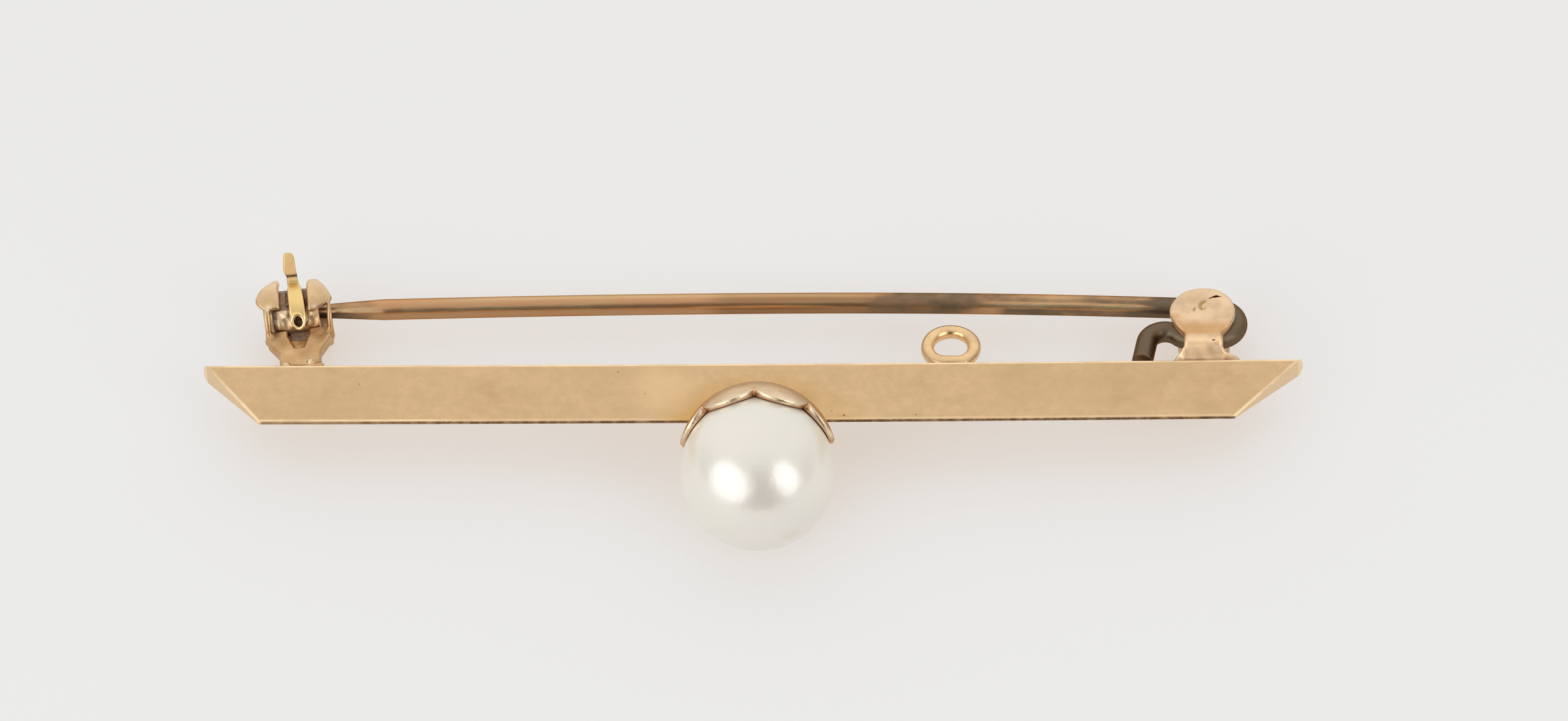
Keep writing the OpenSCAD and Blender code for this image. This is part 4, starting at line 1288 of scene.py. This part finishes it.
class BROOCH_OT_catch(bpy.types.Operator):
    """Makes the catch's sleeve and the lock that turns in it"""

    bl_idname = "brooch.catch"
    bl_label = "Catch"

    def execute(self, context):
        hues = context.scene.brooch_colours
        metal = rose_gold("sleeve_gold", (0.66, 0.455, 0.252), 0.32, 0.46, inks={"pale": (1.0, 0.79, 0.54)})
        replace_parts(make_sleeve(metal), "soldered_bar")
        # The near-black colour here paints shade in the lock's slot, hole and underside as well as grime.
        metal = rose_gold(
            "lock_gold", tint(hues.rose, 0.9), 0.3, 0.42, grime_and_shade=(0.08, 0.035, 0.022),
            inks={"yellow": tuple(hues.yellow), "pale": (1.0, 0.78, 0.48)},
        )
        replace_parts(make_lock(metal), "catch_lock")
        return {"FINISHED"}


class BROOCH_OT_pin(bpy.types.Operator):
    """Makes the pin"""

    bl_idname = "brooch.pin"
    bl_label = "Pin"

    def execute(self, context):
        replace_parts(make_pin(pin_metal()), "pin")
        return {"FINISHED"}


class BROOCH_OT_stage(bpy.types.Operator):
    """Makes the floor, the lights and the camera"""

    bl_idname = "brooch.stage"
    bl_label = "Floor, lights and camera"

    def execute(self, context):
        make_floor()
        make_lights()
        make_camera()
        return {"FINISHED"}


# Stage


def make_floor():
    """A large flat square under the brooch."""
    half = 3.0
    corners = [(-half, -half, 0), (half, -half, 0), (half, half, 0), (-half, half, 0)]
    mesh = bpy.data.meshes.new("floor")
    mesh.from_pydata(corners, [], [(0, 1, 2, 3)])
    mesh.materials.append(floor_glass())
    floor = bpy.data.objects.new("floor", mesh)
    bpy.context.scene.collection.objects.link(floor)


def from_angles(azimuth, elevation):
    """The direction towards a light: azimuth 0 lies in front of the brooch, 90 to its right."""
    a, e = math.radians(azimuth), math.radians(elevation)
    return np.array([math.sin(a) * math.cos(e), -math.cos(a) * math.cos(e), math.sin(e)])


def softbox(name, azimuth, elevation, distance, width, height, brightness):
    """An oval light that looks at the brooch. Its power is pi times brightness times its area."""
    lamp = bpy.data.lights.new(name, "AREA")
    lamp.shape = "ELLIPSE"
    lamp.size, lamp.size_y = width, height
    lamp.energy = math.pi * brightness * math.pi / 4 * width * height
    back = from_angles(azimuth, elevation)
    side = np.cross([0.0, 0.0, 1.0], back)
    side /= np.linalg.norm(side)
    place = np.eye(4)
    place[:3, :3] = np.column_stack([side, np.cross(back, side), back])
    place[:3, 3] = back * distance
    holder = bpy.data.objects.new(name, lamp)
    holder.matrix_world = Matrix(place.tolist())
    bpy.context.scene.collection.objects.link(holder)


def make_lights():
    """A pale room, paler behind and above, with a dim place in front, and a large window on each side."""
    world = bpy.data.worlds.new("room")
    bpy.context.scene.world = world
    world.use_nodes = True
    tree = world.node_tree
    sight = tree.nodes.new("ShaderNodeTexCoord").outputs["Generated"]

    def lobe(direction, wide, narrow, outside, middle):
        """A smooth change of brightness round a direction, between two angles from it in degrees."""
        dot = tree.nodes.new("ShaderNodeVectorMath")
        dot.operation = "DOT_PRODUCT"
        tree.links.new(sight, dot.inputs[0])
        dot.inputs[1].default_value = direction
        step = tree.nodes.new("ShaderNodeMapRange")
        step.interpolation_type = "SMOOTHSTEP"
        tree.links.new(dot.outputs["Value"], step.inputs["Value"])
        values = (math.cos(math.radians(wide)), math.cos(math.radians(narrow)), outside, middle)
        for key, value in zip(("From Min", "From Max", "To Min", "To Max"), values):
            step.inputs[key].default_value = value
        return step.outputs["Result"]

    room = lobe((0.0, 0.707, 0.707), 88, 28, 0.42, 1.08)
    for dim in (lobe((0.1, -0.94, 0.33), 32, 12, 1.0, 0.08), lobe((0.09, -0.73, 0.68), 22, 8, 1.0, 0.2)):
        product = tree.nodes.new("ShaderNodeMath")
        product.operation = "MULTIPLY"
        tree.links.new(room, product.inputs[0])
        tree.links.new(dim, product.inputs[1])
        room = product.outputs[0]
    background = tree.nodes["Background"]
    background.inputs["Color"].default_value = (1.0, 0.985, 0.97, 1.0)
    tree.links.new(room, background.inputs["Strength"])
    softbox("left_window", -48, 28, 0.4, 0.5, 0.38, 1.6)
    softbox("right_window", 54, 31, 0.4, 0.27, 0.36, 1.7)


def make_camera():
    """The camera stands where the photograph was taken from: tilted to the bar's own plane by 44 degrees,
    with a slight sideways step and roll, half a metre away. The lens follows from the photograph's scale."""
    tilt, step, roll = math.radians(44), 0.02, math.radians(0.35036)
    distance, pixels = 500 * MM, 18093.14
    k = math.sqrt(1 - step**2)
    back = np.array([step, -math.cos(tilt) * k, math.sin(tilt) * k])
    right = np.array([1.0, 0, 0]) - back * back[0]
    right /= np.linalg.norm(right)
    up = np.cross(back, right)
    across = math.cos(roll) * right - math.sin(roll) * up
    upright = math.sin(roll) * right + math.cos(roll) * up
    aim = 1.423475 * MM * across + 0.465149 * MM * upright
    turn, _ = hinge_place()
    place = np.eye(4)
    place[:3, :3] = turn @ np.column_stack([across, upright, back])
    place[:3, 3] = lay((aim + distance * back)[None])[0]
    camera = bpy.data.cameras.new("camera")
    camera.sensor_width = SENSOR
    camera.lens = pixels * SENSOR / PHOTO_WIDTH
    camera.clip_start, camera.clip_end = 0.01, 20
    holder = bpy.data.objects.new("camera", camera)
    holder.matrix_world = Matrix(place.tolist())
    bpy.context.scene.collection.objects.link(holder)
    bpy.context.scene.camera = holder
    bpy.context.scene.view_settings.view_transform = "Standard"


# Panel and registration

GROUPS = {
    "brooch_bar": BroochBarSizes,
    "brooch_pearl": BroochPearlSizes,
    "brooch_pin": BroochPinSizes,
    "brooch_hinge": BroochHingeSizes,
    "brooch_catch": BroochCatchSizes,
    "brooch_guard": BroochGuardSizes,
    "brooch_colours": BroochColours,
}
OPERATORS = (
    BROOCH_OT_bar, BROOCH_OT_cup, BROOCH_OT_pearl, BROOCH_OT_hinge, BROOCH_OT_catch, BROOCH_OT_pin,
    BROOCH_OT_stage,
)


class BROOCH_PT_panel(bpy.types.Panel):
    """Lists the brooch's operators and its sizes and colours"""

    bl_idname = "BROOCH_PT_panel"
    bl_label = "Brooch"
    bl_space_type = "VIEW_3D"
    bl_region_type = "UI"
    bl_category = "Brooch"

    def draw(self, context):
        for operator in OPERATORS:
            self.layout.operator(operator.bl_idname)
        for name, group in GROUPS.items():
            box = self.layout.box()
            for key in group.__annotations__:
                box.prop(getattr(context.scene, name), key)


def register():
    """Registers the property groups, hung on the scene, the operators and the panel."""
    for name, group in GROUPS.items():
        bpy.utils.register_class(group)
        setattr(bpy.types.Scene, name, bpy.props.PointerProperty(type=group))
    for cls in (*OPERATORS, BROOCH_PT_panel):
        bpy.utils.register_class(cls)


def unregister():
    """Takes away what register added, in the opposite order."""
    for cls in (BROOCH_PT_panel, *reversed(OPERATORS)):
        bpy.utils.unregister_class(cls)
    for name, group in GROUPS.items():
        delattr(bpy.types.Scene, name)
        bpy.utils.unregister_class(group)


def main():
    """Makes the whole brooch and its stage."""
    register()
    for operator in OPERATORS:
        group, name = operator.bl_idname.split(".")
        getattr(getattr(bpy.ops, group), name)()


if __name__ == "__main__":
    main()
